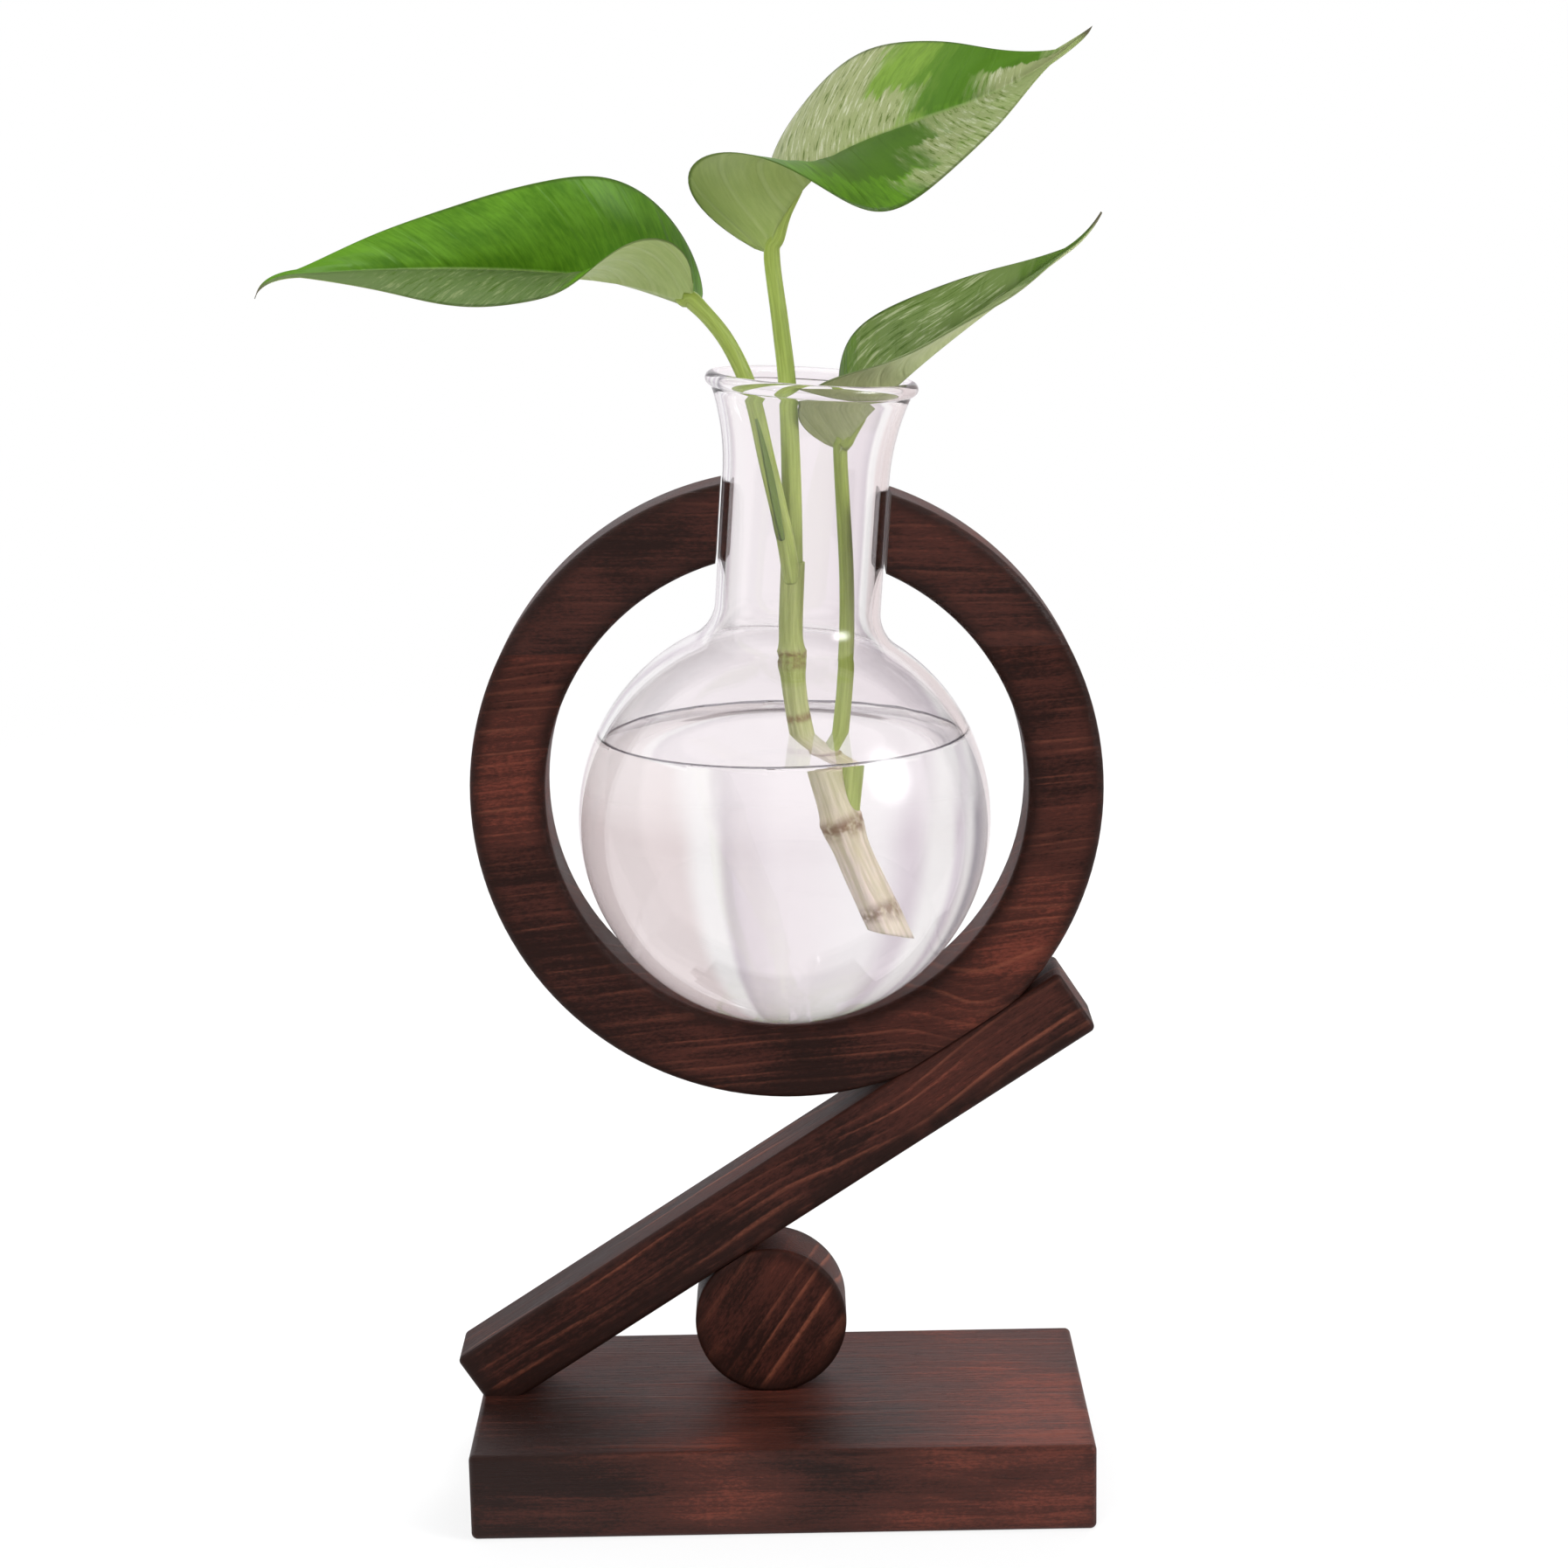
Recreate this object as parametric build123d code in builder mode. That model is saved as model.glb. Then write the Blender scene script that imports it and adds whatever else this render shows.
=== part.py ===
# Propagation vase: a round glass flask with a plant cutting, held in an open wooden ring on a leaning plank.
# Frame: origin at the middle of the base's underside, +X along the base, +Y to the back, +Z up, millimetres.
from build123d import *
import math
import os

os.makedirs("parts", exist_ok=True)

# Wooden stand: base, peg and plank
board_thickness = 15.4      # peg, plank and ring are sawn from one board
edge_round = 1.2            # eased edges of the base, peg and plank
base_length = 120.0
base_width = 62.0
base_thickness = 17.2       # the base is a heavier board
row_setback = 6.4           # peg, plank and ring stand in one row behind the middle of the base
foot_reach = 51.4           # from the base's middle to the plank's lower corner
plank_angle = 32.9          # degrees from the base
plank_thickness = 13.6
plank_length = 135.8        # along the lower face, from the lower corner to the free end
plank_heel = 7.0            # what the level foot cut leaves behind the lower corner
peg_diameter = 30.0
peg_flat = 0.4              # depth of the glue flats on the base and under the plank

# Open ring, cut from an edge-glued blank
bore_room = 6.4             # between the bulb and the ring's bore, at the bulb's widest
ring_width = 14.5           # from the bore to the rim
ring_flat = 1.9             # depth of the glue flat on the plank
ring_offset = 3.1           # ring centre to the right of the base's middle
ring_round = 1.6            # eased edges of the ring
ring_seam_rise = 28.0       # glue seam above the ring's centre

# Hidden dowels
dowel_diameter = 6.0
dowel_depth = 8.0           # into each of the two pieces
dowel_clearance = 0.1       # glue line round the dowel and at its ends
dowel_chamfer = 0.6
ring_dowel_spacing = 15.0

# Glass flask
flask_lean = 4.5            # degrees, the flask and the neck slot lean to the right together
bulb_diameter = 80.0
foot_diameter = 22.0
neck_diameter = 31.8
neck_clearance = 0.3        # between the neck and each face of the slot
seat_clearance = 0.3        # between the flask's foot and the ring's bore
mouth_diameter = 39.2       # outside of the flare, under the bead
mouth_rise = 78.0           # from the ring's centre to the mouth
flare_height = 18.0
glass_wall = 1.5
glass_floor = 2.2
shoulder_round = 8.0
heel_round = 5.0
bead_radius = 1.4

# Plant cutting
stem_diameter = 4.6
node_diameter = 5.8
node_height = 5.0           # length of a node's swelling along the stem
bud_diameter = 2.6
bud_length = 4.4            # from the stem's middle
left_petiole_diameter = 3.0
top_petiole_diameter = 3.4
right_petiole_diameter = 2.8
cut_slant = 35.0            # degrees, slope of the stem's cut end
blade_thickness = 0.7
margin_thickness = 0.45
left_leaf_length = 83.0
left_leaf_half_width = 18.2
top_leaf_length = 78.0
top_leaf_half_width = 21.8
right_leaf_length = 70.7
right_leaf_half_width = 13.2
sheath_length = 32.0
sheath_half_width = 2.4

cut_overrun = 5.0           # how far a cutting shape passes the surface that it cuts

# Places worked out from the sizes above
slope = math.radians(plank_angle)
lean = math.radians(flask_lean)
base_top = base_thickness
peg_radius = peg_diameter / 2
peg_drop = peg_radius - peg_flat
peg_along = peg_drop / math.tan(slope / 2)
peg_x = peg_along - foot_reach
peg_z = base_top + peg_drop
bore_radius = bulb_diameter / 2 + bore_room
ring_radius = bore_radius + ring_width
ring_diameter = 2 * ring_radius
ring_stand_off = plank_thickness + ring_radius - ring_flat
ring_z = base_top + (ring_offset + foot_reach) * math.tan(slope) + ring_stand_off / math.cos(slope)
ring_along = (ring_offset + foot_reach) * math.cos(slope) + (ring_z - base_top) * math.sin(slope)
dowel_radius = dowel_diameter / 2
slot_width = neck_diameter + 2 * neck_clearance
bulb_radius = bulb_diameter / 2
foot_radius = foot_diameter / 2
neck_radius = neck_diameter / 2
mouth_radius = mouth_diameter / 2
neck_bore = neck_radius - glass_wall
flask_floor = seat_clearance - math.sqrt(bore_radius**2 - foot_radius**2)
bulb_level = flask_floor + math.sqrt(bulb_radius**2 - foot_radius**2)
flare_level = mouth_rise - flare_height

# Sketch planes: x along the piece, y away from the base, facing the front
row_plane = Plane(origin=(0, row_setback, 0), x_dir=(1, 0, 0), z_dir=(0, -1, 0))
plank_plane = Plane(
    origin=(-foot_reach, row_setback, base_top),
    x_dir=(math.cos(slope), 0, math.sin(slope)),
    z_dir=(0, -1, 0),
)
flask_plane = Plane(
    origin=(ring_offset, row_setback, ring_z),
    x_dir=(math.cos(lean), 0, -math.sin(lean)),
    z_dir=(0, -1, 0),
)
flask_axis = Axis(flask_plane.origin, flask_plane.y_dir)
seam_plane = Plane(origin=(0, 0, ring_z + ring_seam_rise), z_dir=(0, 0, 1))


def on_plank(along, rise):
    """Plane square to the plank at a place on it, facing away from the base."""
    place = plank_plane.from_local_coords(Vector(along, rise, 0))
    return Plane(origin=place, x_dir=plank_plane.x_dir, z_dir=plank_plane.y_dir)


def dowel_hole(seat):
    """Hole for one half of a dowel on each side of the glue face at seat."""
    with Locations(seat):
        Cylinder(
            dowel_radius + dowel_clearance,
            2 * (dowel_depth + dowel_clearance),
            mode=Mode.SUBTRACT,
        )


def dowel_pin(seat):
    """Dowel centred on the glue face at seat, with chamfered ends."""
    with Locations(seat):
        pin = Cylinder(dowel_radius, 2 * dowel_depth)
    chamfer(pin.edges().filter_by(GeomType.CIRCLE), dowel_chamfer)


base_seat = Plane(origin=(peg_x, row_setback, base_top))
plank_seat = on_plank(peg_along, 0)
ring_seats = [
    on_plank(ring_along + side * ring_dowel_spacing / 2, plank_thickness) for side in (-1, 1)
]

# Base block with eased edges
with BuildPart() as base_block:
    Box(base_length, base_width, base_thickness, align=(Align.CENTER, Align.CENTER, Align.MIN))
    fillet(base_block.edges(), edge_round)
    dowel_hole(base_seat)

# Round peg: a glue flat on the base and one under the plank
with BuildPart() as round_peg:
    with BuildSketch(row_plane):
        with Locations((peg_x, peg_z)):
            Circle(peg_radius)
    extrude(amount=board_thickness / 2, both=True)
    fillet(round_peg.edges().filter_by(GeomType.CIRCLE), edge_round)
    with BuildSketch(row_plane):
        with Locations((peg_x, base_top)):
            Rectangle(peg_diameter, peg_diameter, align=(Align.CENTER, Align.MAX))
    extrude(amount=board_thickness, both=True, mode=Mode.SUBTRACT)
    with BuildSketch(plank_plane):
        with Locations((peg_along, 0)):
            Rectangle(peg_diameter, peg_diameter, align=(Align.CENTER, Align.MIN))
    extrude(amount=board_thickness, both=True, mode=Mode.SUBTRACT)
    dowel_hole(base_seat)
    dowel_hole(plank_seat)

# Plank: square stock with its foot cut level to stand on the base
heel_rise = plank_heel * math.tan(slope)
with BuildPart() as inclined_plank:
    with BuildSketch(plank_plane):
        with BuildLine():
            Polyline(
                (0, 0),
                (plank_length, 0),
                (plank_length, plank_thickness),
                (-plank_heel, plank_thickness),
                (-plank_heel, heel_rise),
                close=True,
            )
        make_face()
    extrude(amount=board_thickness / 2, both=True)
    fillet(
        inclined_plank.edges().filter_by(lambda edge: edge.center().Z > base_top + edge_round),
        edge_round,
    )
    dowel_hole(plank_seat)
    for seat in ring_seats:
        dowel_hole(seat)

# Ring blank: eased ring, the neck slot through its top and a glue flat on the plank
with BuildPart() as ring_blank:
    with BuildSketch(flask_plane):
        Circle(ring_radius)
        Circle(bore_radius, mode=Mode.SUBTRACT)
        with Locations((0, bore_radius)):
            Rectangle(slot_width, ring_radius, mode=Mode.SUBTRACT)
    extrude(amount=board_thickness / 2, both=True)
    fillet(ring_blank.edges().filter_by(GeomType.CIRCLE), ring_round)
    with BuildSketch(plank_plane):
        with Locations((ring_along, plank_thickness)):
            Rectangle(ring_diameter, ring_radius, align=(Align.CENTER, Align.MAX))
    extrude(amount=board_thickness, both=True, mode=Mode.SUBTRACT)
    for seat in ring_seats:
        dowel_hole(seat)

# The blank's boards: one lower arc and two horns above the glue seam
with BuildPart() as ring_lower_arc:
    add(ring_blank.part)
    split(bisect_by=seam_plane, keep=Keep.BOTTOM)

slot_middle = Plane(origin=flask_plane.origin, z_dir=flask_plane.x_dir)
with BuildPart() as ring_left_horn:
    add(ring_blank.part)
    split(bisect_by=seam_plane, keep=Keep.TOP)
    split(bisect_by=slot_middle, keep=Keep.BOTTOM)

with BuildPart() as ring_right_horn:
    add(ring_blank.part)
    split(bisect_by=seam_plane, keep=Keep.TOP)
    split(bisect_by=slot_middle, keep=Keep.TOP)

# Hidden dowels between base and peg, peg and plank, plank and ring
with BuildPart() as base_dowel:
    dowel_pin(base_seat)

with BuildPart() as plank_dowel:
    dowel_pin(plank_seat)

with BuildPart() as ring_dowels:
    for seat in ring_seats:
        dowel_pin(seat)


def half_outline(sphere, floor, neck, mouth, mode):
    """Half section of a flask from its axis: floor, bulb, neck and flare."""
    foot = (math.sqrt(sphere**2 - (bulb_level - floor) ** 2), floor)
    shoulder = (neck, bulb_level + math.sqrt(sphere**2 - neck**2))
    with BuildLine() as outline:
        Line((0, floor), foot)
        ThreePointArc(foot, (sphere, bulb_level), shoulder)
        Line(shoulder, (neck, flare_level))
        TangentArc((neck, flare_level), (mouth, mouth_rise), tangent=(0, 1))
        Polyline((mouth, mouth_rise), (0, mouth_rise), (0, floor))
    make_face(outline.edges(), mode=mode)
    return foot, shoulder


# Glass flask: one even wall from the flat foot to the flared mouth, and a fire-polished bead
with BuildPart() as glass_flask:
    with BuildSketch(flask_plane) as flask_section:
        outer_foot, outer_shoulder = half_outline(
            bulb_radius, flask_floor, neck_radius, mouth_radius, Mode.ADD
        )
        inner_foot, inner_shoulder = half_outline(
            bulb_radius - glass_wall,
            flask_floor + glass_floor,
            neck_bore,
            mouth_radius - glass_wall,
            Mode.SUBTRACT,
        )
        rounded_corners = (
            (outer_foot, heel_round),
            (inner_foot, heel_round - glass_wall),
            (outer_shoulder, shoulder_round),
            (inner_shoulder, shoulder_round + glass_wall),
        )
        for corner, corner_round in rounded_corners:
            fillet(flask_section.vertices().sort_by_distance(Vector(*corner))[0], corner_round)
        with Locations((mouth_radius - glass_wall / 2, mouth_rise)):
            Circle(bead_radius)
    revolve(axis=flask_axis)


def in_flask(across_share, back_share, rise_share):
    """Place beside the flask's axis: shares of the neck's bore and of the way from bulb to mouth."""
    level = bulb_level + rise_share * (mouth_rise - bulb_level)
    return flask_plane.from_local_coords(
        Vector(across_share * neck_bore, level, -back_share * neck_bore)
    )


# Routes of the stem and petioles from below, as shares of the flask
stem_shares = [
    (1.0, 0.20, -0.195),
    (0.60, 0.23, -0.03),
    (0.18, 0.21, 0.18),
    (-0.04, 0.22, 0.37),
    (-0.10, 0.21, 0.59),
]
top_petiole_shares = [
    (-0.10, 0.21, 0.595),
    (-0.18, 0.22, 0.76),
    (-0.31, 0.20, 0.98),
    (-0.45, 0.21, 1.12),
    (-0.62, 0.21, 1.275),
]
left_petiole_shares = [
    (-0.10, 0.16, 0.55),
    (-0.24, -0.10, 0.66),
    (-0.52, -0.06, 0.82),
    (-0.79, 0.03, 0.97),
    (-1.16, 0.09, 1.085),
    (-1.62, 0.11, 1.165),
]
right_petiole_shares = [
    (0.62, 0.22, 0.0),
    (0.68, 0.27, 0.18),
    (0.70, 0.25, 0.36),
    (0.64, 0.26, 0.56),
    (0.44, 0.20, 0.85),
]
sheath_base_shares = (-0.20, -0.26, 0.63)
bend_share = 0.45           # of the shorter run beside a bend, taken by the bend
stem_node_shares = (0.245, 0.72)     # places of the stem's nodes along its route
node_end_share = 0.95       # radius where a node's swelling runs out, of the stem's
bud_tip_share = 0.5         # radius of a bud's tip, of the bud's


def bend_radii(points):
    """Largest tangent arc at each bend of a route that leaves its runs in place."""
    radii = []
    for before, here, after in zip(points, points[1:], points[2:]):
        turn = math.radians((here - before).get_angle(after - here))
        shorter = min((here - before).length, (after - here).length)
        radii.append(bend_share * shorter / math.tan(turn / 2))
    return radii


def draw_shoot(shares, diameter):
    """Round shoot along a route; returns the route's wire."""
    points = [in_flask(*share) for share in shares]
    radii = bend_radii(points)
    print("bend radii", [round(radius) for radius in radii])
    with BuildLine() as route:
        FilletPolyline(*points, radius=radii)
    wire = route.wire()
    with BuildSketch(Plane(origin=wire @ 0, z_dir=wire % 0)) as section:
        Circle(diameter / 2)
    sweep(section.sketch, path=wire)
    return wire


def draw_node(place, run):
    """Swelling round the stem, and a bud that points up and to the left."""
    end_radius = node_end_share * stem_diameter / 2
    with Locations(Plane(origin=place, z_dir=run), Plane(origin=place, z_dir=-run)):
        Cone(
            node_diameter / 2,
            end_radius,
            node_height / 2,
            align=(Align.CENTER, Align.CENTER, Align.MIN),
        )
    with Locations(Plane(origin=place, z_dir=run - flask_plane.x_dir)):
        Cone(
            bud_diameter / 2,
            bud_tip_share * bud_diameter / 2,
            bud_length,
            align=(Align.CENTER, Align.CENTER, Align.MIN),
        )


# Main stem: two swollen nodes with buds, and a slanting cut at the lower end
with BuildPart() as main_stem:
    stem_route = draw_shoot(stem_shares, stem_diameter)
    for node_share in stem_node_shares:
        draw_node(stem_route @ node_share, stem_route % node_share)
    cut_middle = stem_route @ 0 + stem_route % 0 * stem_diameter
    cut_normal = (stem_route % 0).rotate(Axis.Y, cut_slant)
    with BuildSketch(Plane(origin=cut_middle, z_dir=cut_normal)):
        Circle(stem_diameter + cut_overrun)
    extrude(amount=-(stem_diameter + cut_overrun), mode=Mode.SUBTRACT)

# Petioles: the top one goes on from the stem, the others leave its side
with BuildPart() as top_petiole:
    draw_shoot(top_petiole_shares, top_petiole_diameter)
    add(main_stem.part, mode=Mode.SUBTRACT)

with BuildPart() as left_petiole:
    draw_shoot(left_petiole_shares, left_petiole_diameter)
    add(main_stem.part, mode=Mode.SUBTRACT)
    add(top_petiole.part, mode=Mode.SUBTRACT)

with BuildPart() as right_petiole:
    draw_shoot(right_petiole_shares, right_petiole_diameter)
    add(main_stem.part, mode=Mode.SUBTRACT)

# Leaf blades: width along the midrib, folds and roll follow smooth formulas of the share of the length
station_shares = (0.004, 0.03, 0.09, 0.19, 0.32, 0.46, 0.6, 0.72, 0.82, 0.88, 0.93, 0.975)
sheath_station_shares = station_shares[2:-4]
width_rise_share = 0.42
width_fall_share = 1.05
blade_share = 0.88          # of the length, where the broad blade runs out into its drip tip
tip_width_share = 0.05      # half width of the drip tip, of the blade's
camber_share = 0.06         # bulge of each half blade, of its width
thin_share = 0.5            # most thickness that a narrow stretch keeps, of its half width
peak_share = width_rise_share / (width_rise_share + width_fall_share)

# Midrib's three control points and the drip tip's bend from the base, in lengths of the leaf
left_rib_shares = [(-0.248, 0.082, 0.081), (-0.571, 0.089, 0.095), (-1.019, -0.334, 0.089)]
left_tip_shares = (0.079, 0, -0.041)
top_rib_shares = [(0.071, -0.032, 0.395), (0.495, -0.082, 0.227), (0.773, -0.408, 0.561)]
top_tip_shares = (-0.04, 0, -0.04)
right_rib_shares = [(0.076, -0.058, 0.18), (0.379, -0.188, 0.381), (0.746, 0.176, 0.598)]
right_tip_shares = (-0.028, 0, 0.02)
sheath_rib_shares = [(-0.03, -0.01, 0.33), (-0.09, -0.02, 0.66), (-0.22, 0.02, 0.97)]
sheath_tip_shares = (0, 0, 0)

# Degrees at the blade's base, middle and tip: roll about the midrib, fold of the right and left half
left_rolls, left_folds = (-14, 24, 2), [(5, 80, 12), (50, 2, -32)]
top_rolls, top_folds = (18, -33, -13), [(99, -19, 21), (40, 26, 115)]
right_rolls, right_folds = (10, -23, -6), [(53, 35, 33), (41, 44, 2)]
sheath_rolls, sheath_folds = (0, 0, 0), [(-35, -35, -20), (-35, -35, -20)]


def width_share(at):
    """Half width of a blade at a share of its length, as a share of the widest half width."""
    widest = peak_share**width_rise_share * (1 - peak_share) ** width_fall_share
    along = min(at / blade_share, 1)
    broad = along**width_rise_share * (1 - along) ** width_fall_share / widest
    return broad + tip_width_share * min((1 - at) / (1 - blade_share), 1)


def three_way(values, at):
    """Smooth value between those at the blade's base, middle and tip."""
    base, middle, tip = values
    return base * (1 - at) * (1 - 2 * at) + middle * 4 * at * (1 - at) + tip * at * (2 * at - 1)


def midrib(base, length, rib_shares, tip_shares, at):
    """Point and direction of a blade's midrib, a cubic curve from the base with a bend in its tip."""
    p0 = base
    p1, p2, p3 = [base + Vector(*share) * length for share in rib_shares]
    point = (
        p0 * (1 - at) ** 3 + p1 * 3 * at * (1 - at) ** 2 + p2 * 3 * at**2 * (1 - at) + p3 * at**3
    )
    run = ((p1 - p0) * (1 - at) ** 2 + (p2 - p1) * 2 * at * (1 - at) + (p3 - p2) * at**2) * 3
    into_tip = max(at - blade_share, 0) / (1 - blade_share)
    tip_bend = Vector(*tip_shares) * length
    point += tip_bend * into_tip**2
    run += tip_bend * (2 * into_tip / (1 - blade_share))
    return point, run.normalized()


def half_section(outward, angle, width, thickness):
    """Edge, middle and underside points of one half blade, in the section's plane."""
    along = Vector(outward * math.cos(angle), math.sin(angle))
    over = Vector(-outward * math.sin(angle), math.cos(angle))
    edge = along * width
    crown = along * (width / 2) + over * (camber_share * width)
    margin = min(margin_thickness, thickness)
    return edge, crown, edge - over * margin, crown - over * thickness


def draw_blade(base, length, half_width, rib_shares, tip_shares, rolls, folds, stations):
    """Thin folded blade through sections square to its midrib."""
    right_folds, left_folds = folds
    sections = []
    for at in stations:
        point, run = midrib(base, length, rib_shares, tip_shares, at)
        level_side = run.cross(Vector(0, 0, 1)).normalized()
        side = level_side.rotate(Axis((0, 0, 0), run), -three_way(rolls, at))
        width = half_width * width_share(at)
        right_angle = math.radians(three_way(right_folds, at))
        left_angle = math.radians(three_way(left_folds, at))
        thickness = min(blade_thickness, thin_share * width)
        right_edge, right_crown, right_under, right_hollow = half_section(
            1, right_angle, width, thickness
        )
        left_edge, left_crown, left_under, left_hollow = half_section(
            -1, left_angle, width, thickness
        )
        valley = (math.pi + right_angle - left_angle) / 2
        opening = (math.pi - right_angle - left_angle) / 2
        keel = Vector(math.cos(valley), math.sin(valley)) * (-thickness / math.sin(opening))
        with BuildSketch(Plane(origin=point, x_dir=side, z_dir=-run)) as section:
            with BuildLine():
                ThreePointArc(right_edge, right_crown, Vector(0, 0))
                ThreePointArc(Vector(0, 0), left_crown, left_edge)
                Line(left_edge, left_under)
                ThreePointArc(left_under, left_hollow, keel)
                ThreePointArc(keel, right_hollow, right_under)
                Line(right_under, right_edge)
            make_face()
        sections.append(section.sketch)
    loft(sections)


# Left leaf: long blade that reaches out over the base's left end
with BuildPart() as left_leaf:
    draw_blade(
        in_flask(*left_petiole_shares[-1]),
        left_leaf_length,
        left_leaf_half_width,
        left_rib_shares,
        left_tip_shares,
        left_rolls,
        left_folds,
        station_shares,
    )
    add(left_petiole.part, mode=Mode.SUBTRACT)

# Top leaf: blade that turns over to the right above the mouth
with BuildPart() as top_leaf:
    draw_blade(
        in_flask(*top_petiole_shares[-1]),
        top_leaf_length,
        top_leaf_half_width,
        top_rib_shares,
        top_tip_shares,
        top_rolls,
        top_folds,
        station_shares,
    )
    add(top_petiole.part, mode=Mode.SUBTRACT)

# Right leaf: young blade that opens out of the mouth
with BuildPart() as right_leaf:
    draw_blade(
        in_flask(*right_petiole_shares[-1]),
        right_leaf_length,
        right_leaf_half_width,
        right_rib_shares,
        right_tip_shares,
        right_rolls,
        right_folds,
        station_shares,
    )
    add(right_petiole.part, mode=Mode.SUBTRACT)

# Sheath: narrow wing that clasps the lower left petiole from the front
with BuildPart() as petiole_sheath:
    draw_blade(
        in_flask(*sheath_base_shares),
        sheath_length,
        sheath_half_width,
        sheath_rib_shares,
        sheath_tip_shares,
        sheath_rolls,
        sheath_folds,
        sheath_station_shares,
    )
    add(left_petiole.part, mode=Mode.SUBTRACT)
    add(top_petiole.part, mode=Mode.SUBTRACT)
    add(main_stem.part, mode=Mode.SUBTRACT)

# Finished pieces
pieces = {
    "base_block": base_block,
    "round_peg": round_peg,
    "inclined_plank": inclined_plank,
    "ring_lower_arc": ring_lower_arc,
    "ring_left_horn": ring_left_horn,
    "ring_right_horn": ring_right_horn,
    "base_dowel": base_dowel,
    "plank_dowel": plank_dowel,
    "ring_dowels": ring_dowels,
    "glass_flask": glass_flask,
    "main_stem": main_stem,
    "left_petiole": left_petiole,
    "top_petiole": top_petiole,
    "right_petiole": right_petiole,
    "petiole_sheath": petiole_sheath,
    "left_leaf": left_leaf,
    "top_leaf": top_leaf,
    "right_leaf": right_leaf,
}
for name, piece in pieces.items():
    piece.part.label = name
    export_step(piece.part, f"parts/{name}.step")
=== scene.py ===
# Propagation vase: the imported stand, flask and cutting, dressed with materials, water and studio light.
from itertools import combinations
from math import asin, atan2, cos, degrees, dist, exp, pi, radians, remainder, sin, sqrt, tan

import bmesh
import bpy
import numpy as np
from mathutils import Matrix, Vector


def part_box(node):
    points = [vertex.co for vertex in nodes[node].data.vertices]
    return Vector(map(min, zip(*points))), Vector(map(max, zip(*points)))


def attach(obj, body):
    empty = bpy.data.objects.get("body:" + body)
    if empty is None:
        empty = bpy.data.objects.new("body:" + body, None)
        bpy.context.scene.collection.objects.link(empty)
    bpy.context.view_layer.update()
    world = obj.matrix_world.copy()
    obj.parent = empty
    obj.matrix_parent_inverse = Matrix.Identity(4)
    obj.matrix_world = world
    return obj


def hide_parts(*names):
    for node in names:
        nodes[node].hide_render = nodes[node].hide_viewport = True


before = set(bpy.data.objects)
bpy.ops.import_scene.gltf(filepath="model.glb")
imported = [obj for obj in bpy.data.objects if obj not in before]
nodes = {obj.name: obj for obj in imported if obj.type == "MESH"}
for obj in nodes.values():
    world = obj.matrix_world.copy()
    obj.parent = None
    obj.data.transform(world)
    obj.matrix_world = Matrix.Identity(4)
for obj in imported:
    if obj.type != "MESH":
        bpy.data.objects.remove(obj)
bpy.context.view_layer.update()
scene = bpy.context.scene
scene.view_settings.view_transform = "Standard"

mm = 0.001

# Stand, in millimetres and degrees as in the part's source
base_size = (120.0, 62.0, 17.2)
board = 15.4
plank_angle = 32.9
plank_thickness = 13.6
peg_radius = 15.0
bore_radius = 46.4   # of the ring

# Flask, in millimetres and degrees
flask_lean = 4.5
bulb_radius = 40.0
foot_radius = 11.0
neck_radius = 15.9
mouth_radius = 19.6
mouth_rise = 78.0
flare_height = 18.0
glass_wall = 1.5
glass_floor = 2.2
shoulder_round = 8.0
heel_round = 5.0
bead_radius = 1.4
flask_segments = 192
seat_clearance = 0.3

# Water, in millimetres
water_rise = 9.7   # water level above the ring's centre
water_overlap = 0.15   # how far the water's skin lies inside the glass
meniscus_height = 0.9
meniscus_reach = 1.7
waterline_radius = 0.25
water_segments = 160
# Rings of the water's surface, by their distance from the glass
surface_rings = (0.15, 0.35, 0.6, 1.0, 1.5, 2.2, 3.2, 5.0, 9.0, 16.0, 24.0, 31.0)


def round_middle(low, high, radius):
    """Centre of a round piece, in millimetres, from the corners of its box and its radius."""
    return Vector(((low.x + high.x) / 2, (low.y + high.y) / 2, low.z + radius * mm)) / mm


# Places read from the frame
arc_low, arc_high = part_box("ring_lower_arc")
ring_radius = (arc_high.x - arc_low.x) / 2 / mm
ring_centre = round_middle(arc_low, arc_high, ring_radius)
lean = radians(flask_lean)
flask_across = Vector((cos(lean), 0, -sin(lean)))
flask_up = Vector((sin(lean), 0, cos(lean)))
flask_back = Vector((0, 1, 0))
neck_bore = neck_radius - glass_wall
flask_floor = seat_clearance - sqrt(bore_radius**2 - foot_radius**2)
bulb_level = flask_floor + sqrt(bulb_radius**2 - foot_radius**2)
flare_level = mouth_rise - flare_height
water_level = ring_centre.z + water_rise


def colour(code):
    """Linear colour for a six-digit sRGB code."""
    parts = [int(code[at : at + 2], 16) / 255 for at in (0, 2, 4)]
    linear = [part / 12.92 if part <= 0.04045 else ((part + 0.055) / 1.055) ** 2.4 for part in parts]
    return (*linear, 1.0)


def add_object(name, data):
    made = bpy.data.objects.new(name, data)
    scene.collection.objects.link(made)
    return made


# Helpers that add nodes to a tree; most return an output socket


def add_node(tree, kind, inputs=None, **settings):
    """New node with its settings, and its inputs linked or set."""
    made = tree.nodes.new(kind)
    for key, value in settings.items():
        setattr(made, key, value)
    for key, value in (inputs or {}).items():
        if isinstance(value, bpy.types.NodeSocket):
            tree.links.new(value, made.inputs[key])
        else:
            made.inputs[key].default_value = value
    return made


def calc(tree, operation, *values):
    return add_node(tree, "ShaderNodeMath", dict(enumerate(values)), operation=operation).outputs[0]


def times(tree, first, second):
    return calc(tree, "MULTIPLY", first, second)


def scale_add(tree, value, factor, added):
    return calc(tree, "MULTIPLY_ADD", value, factor, added)


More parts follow.
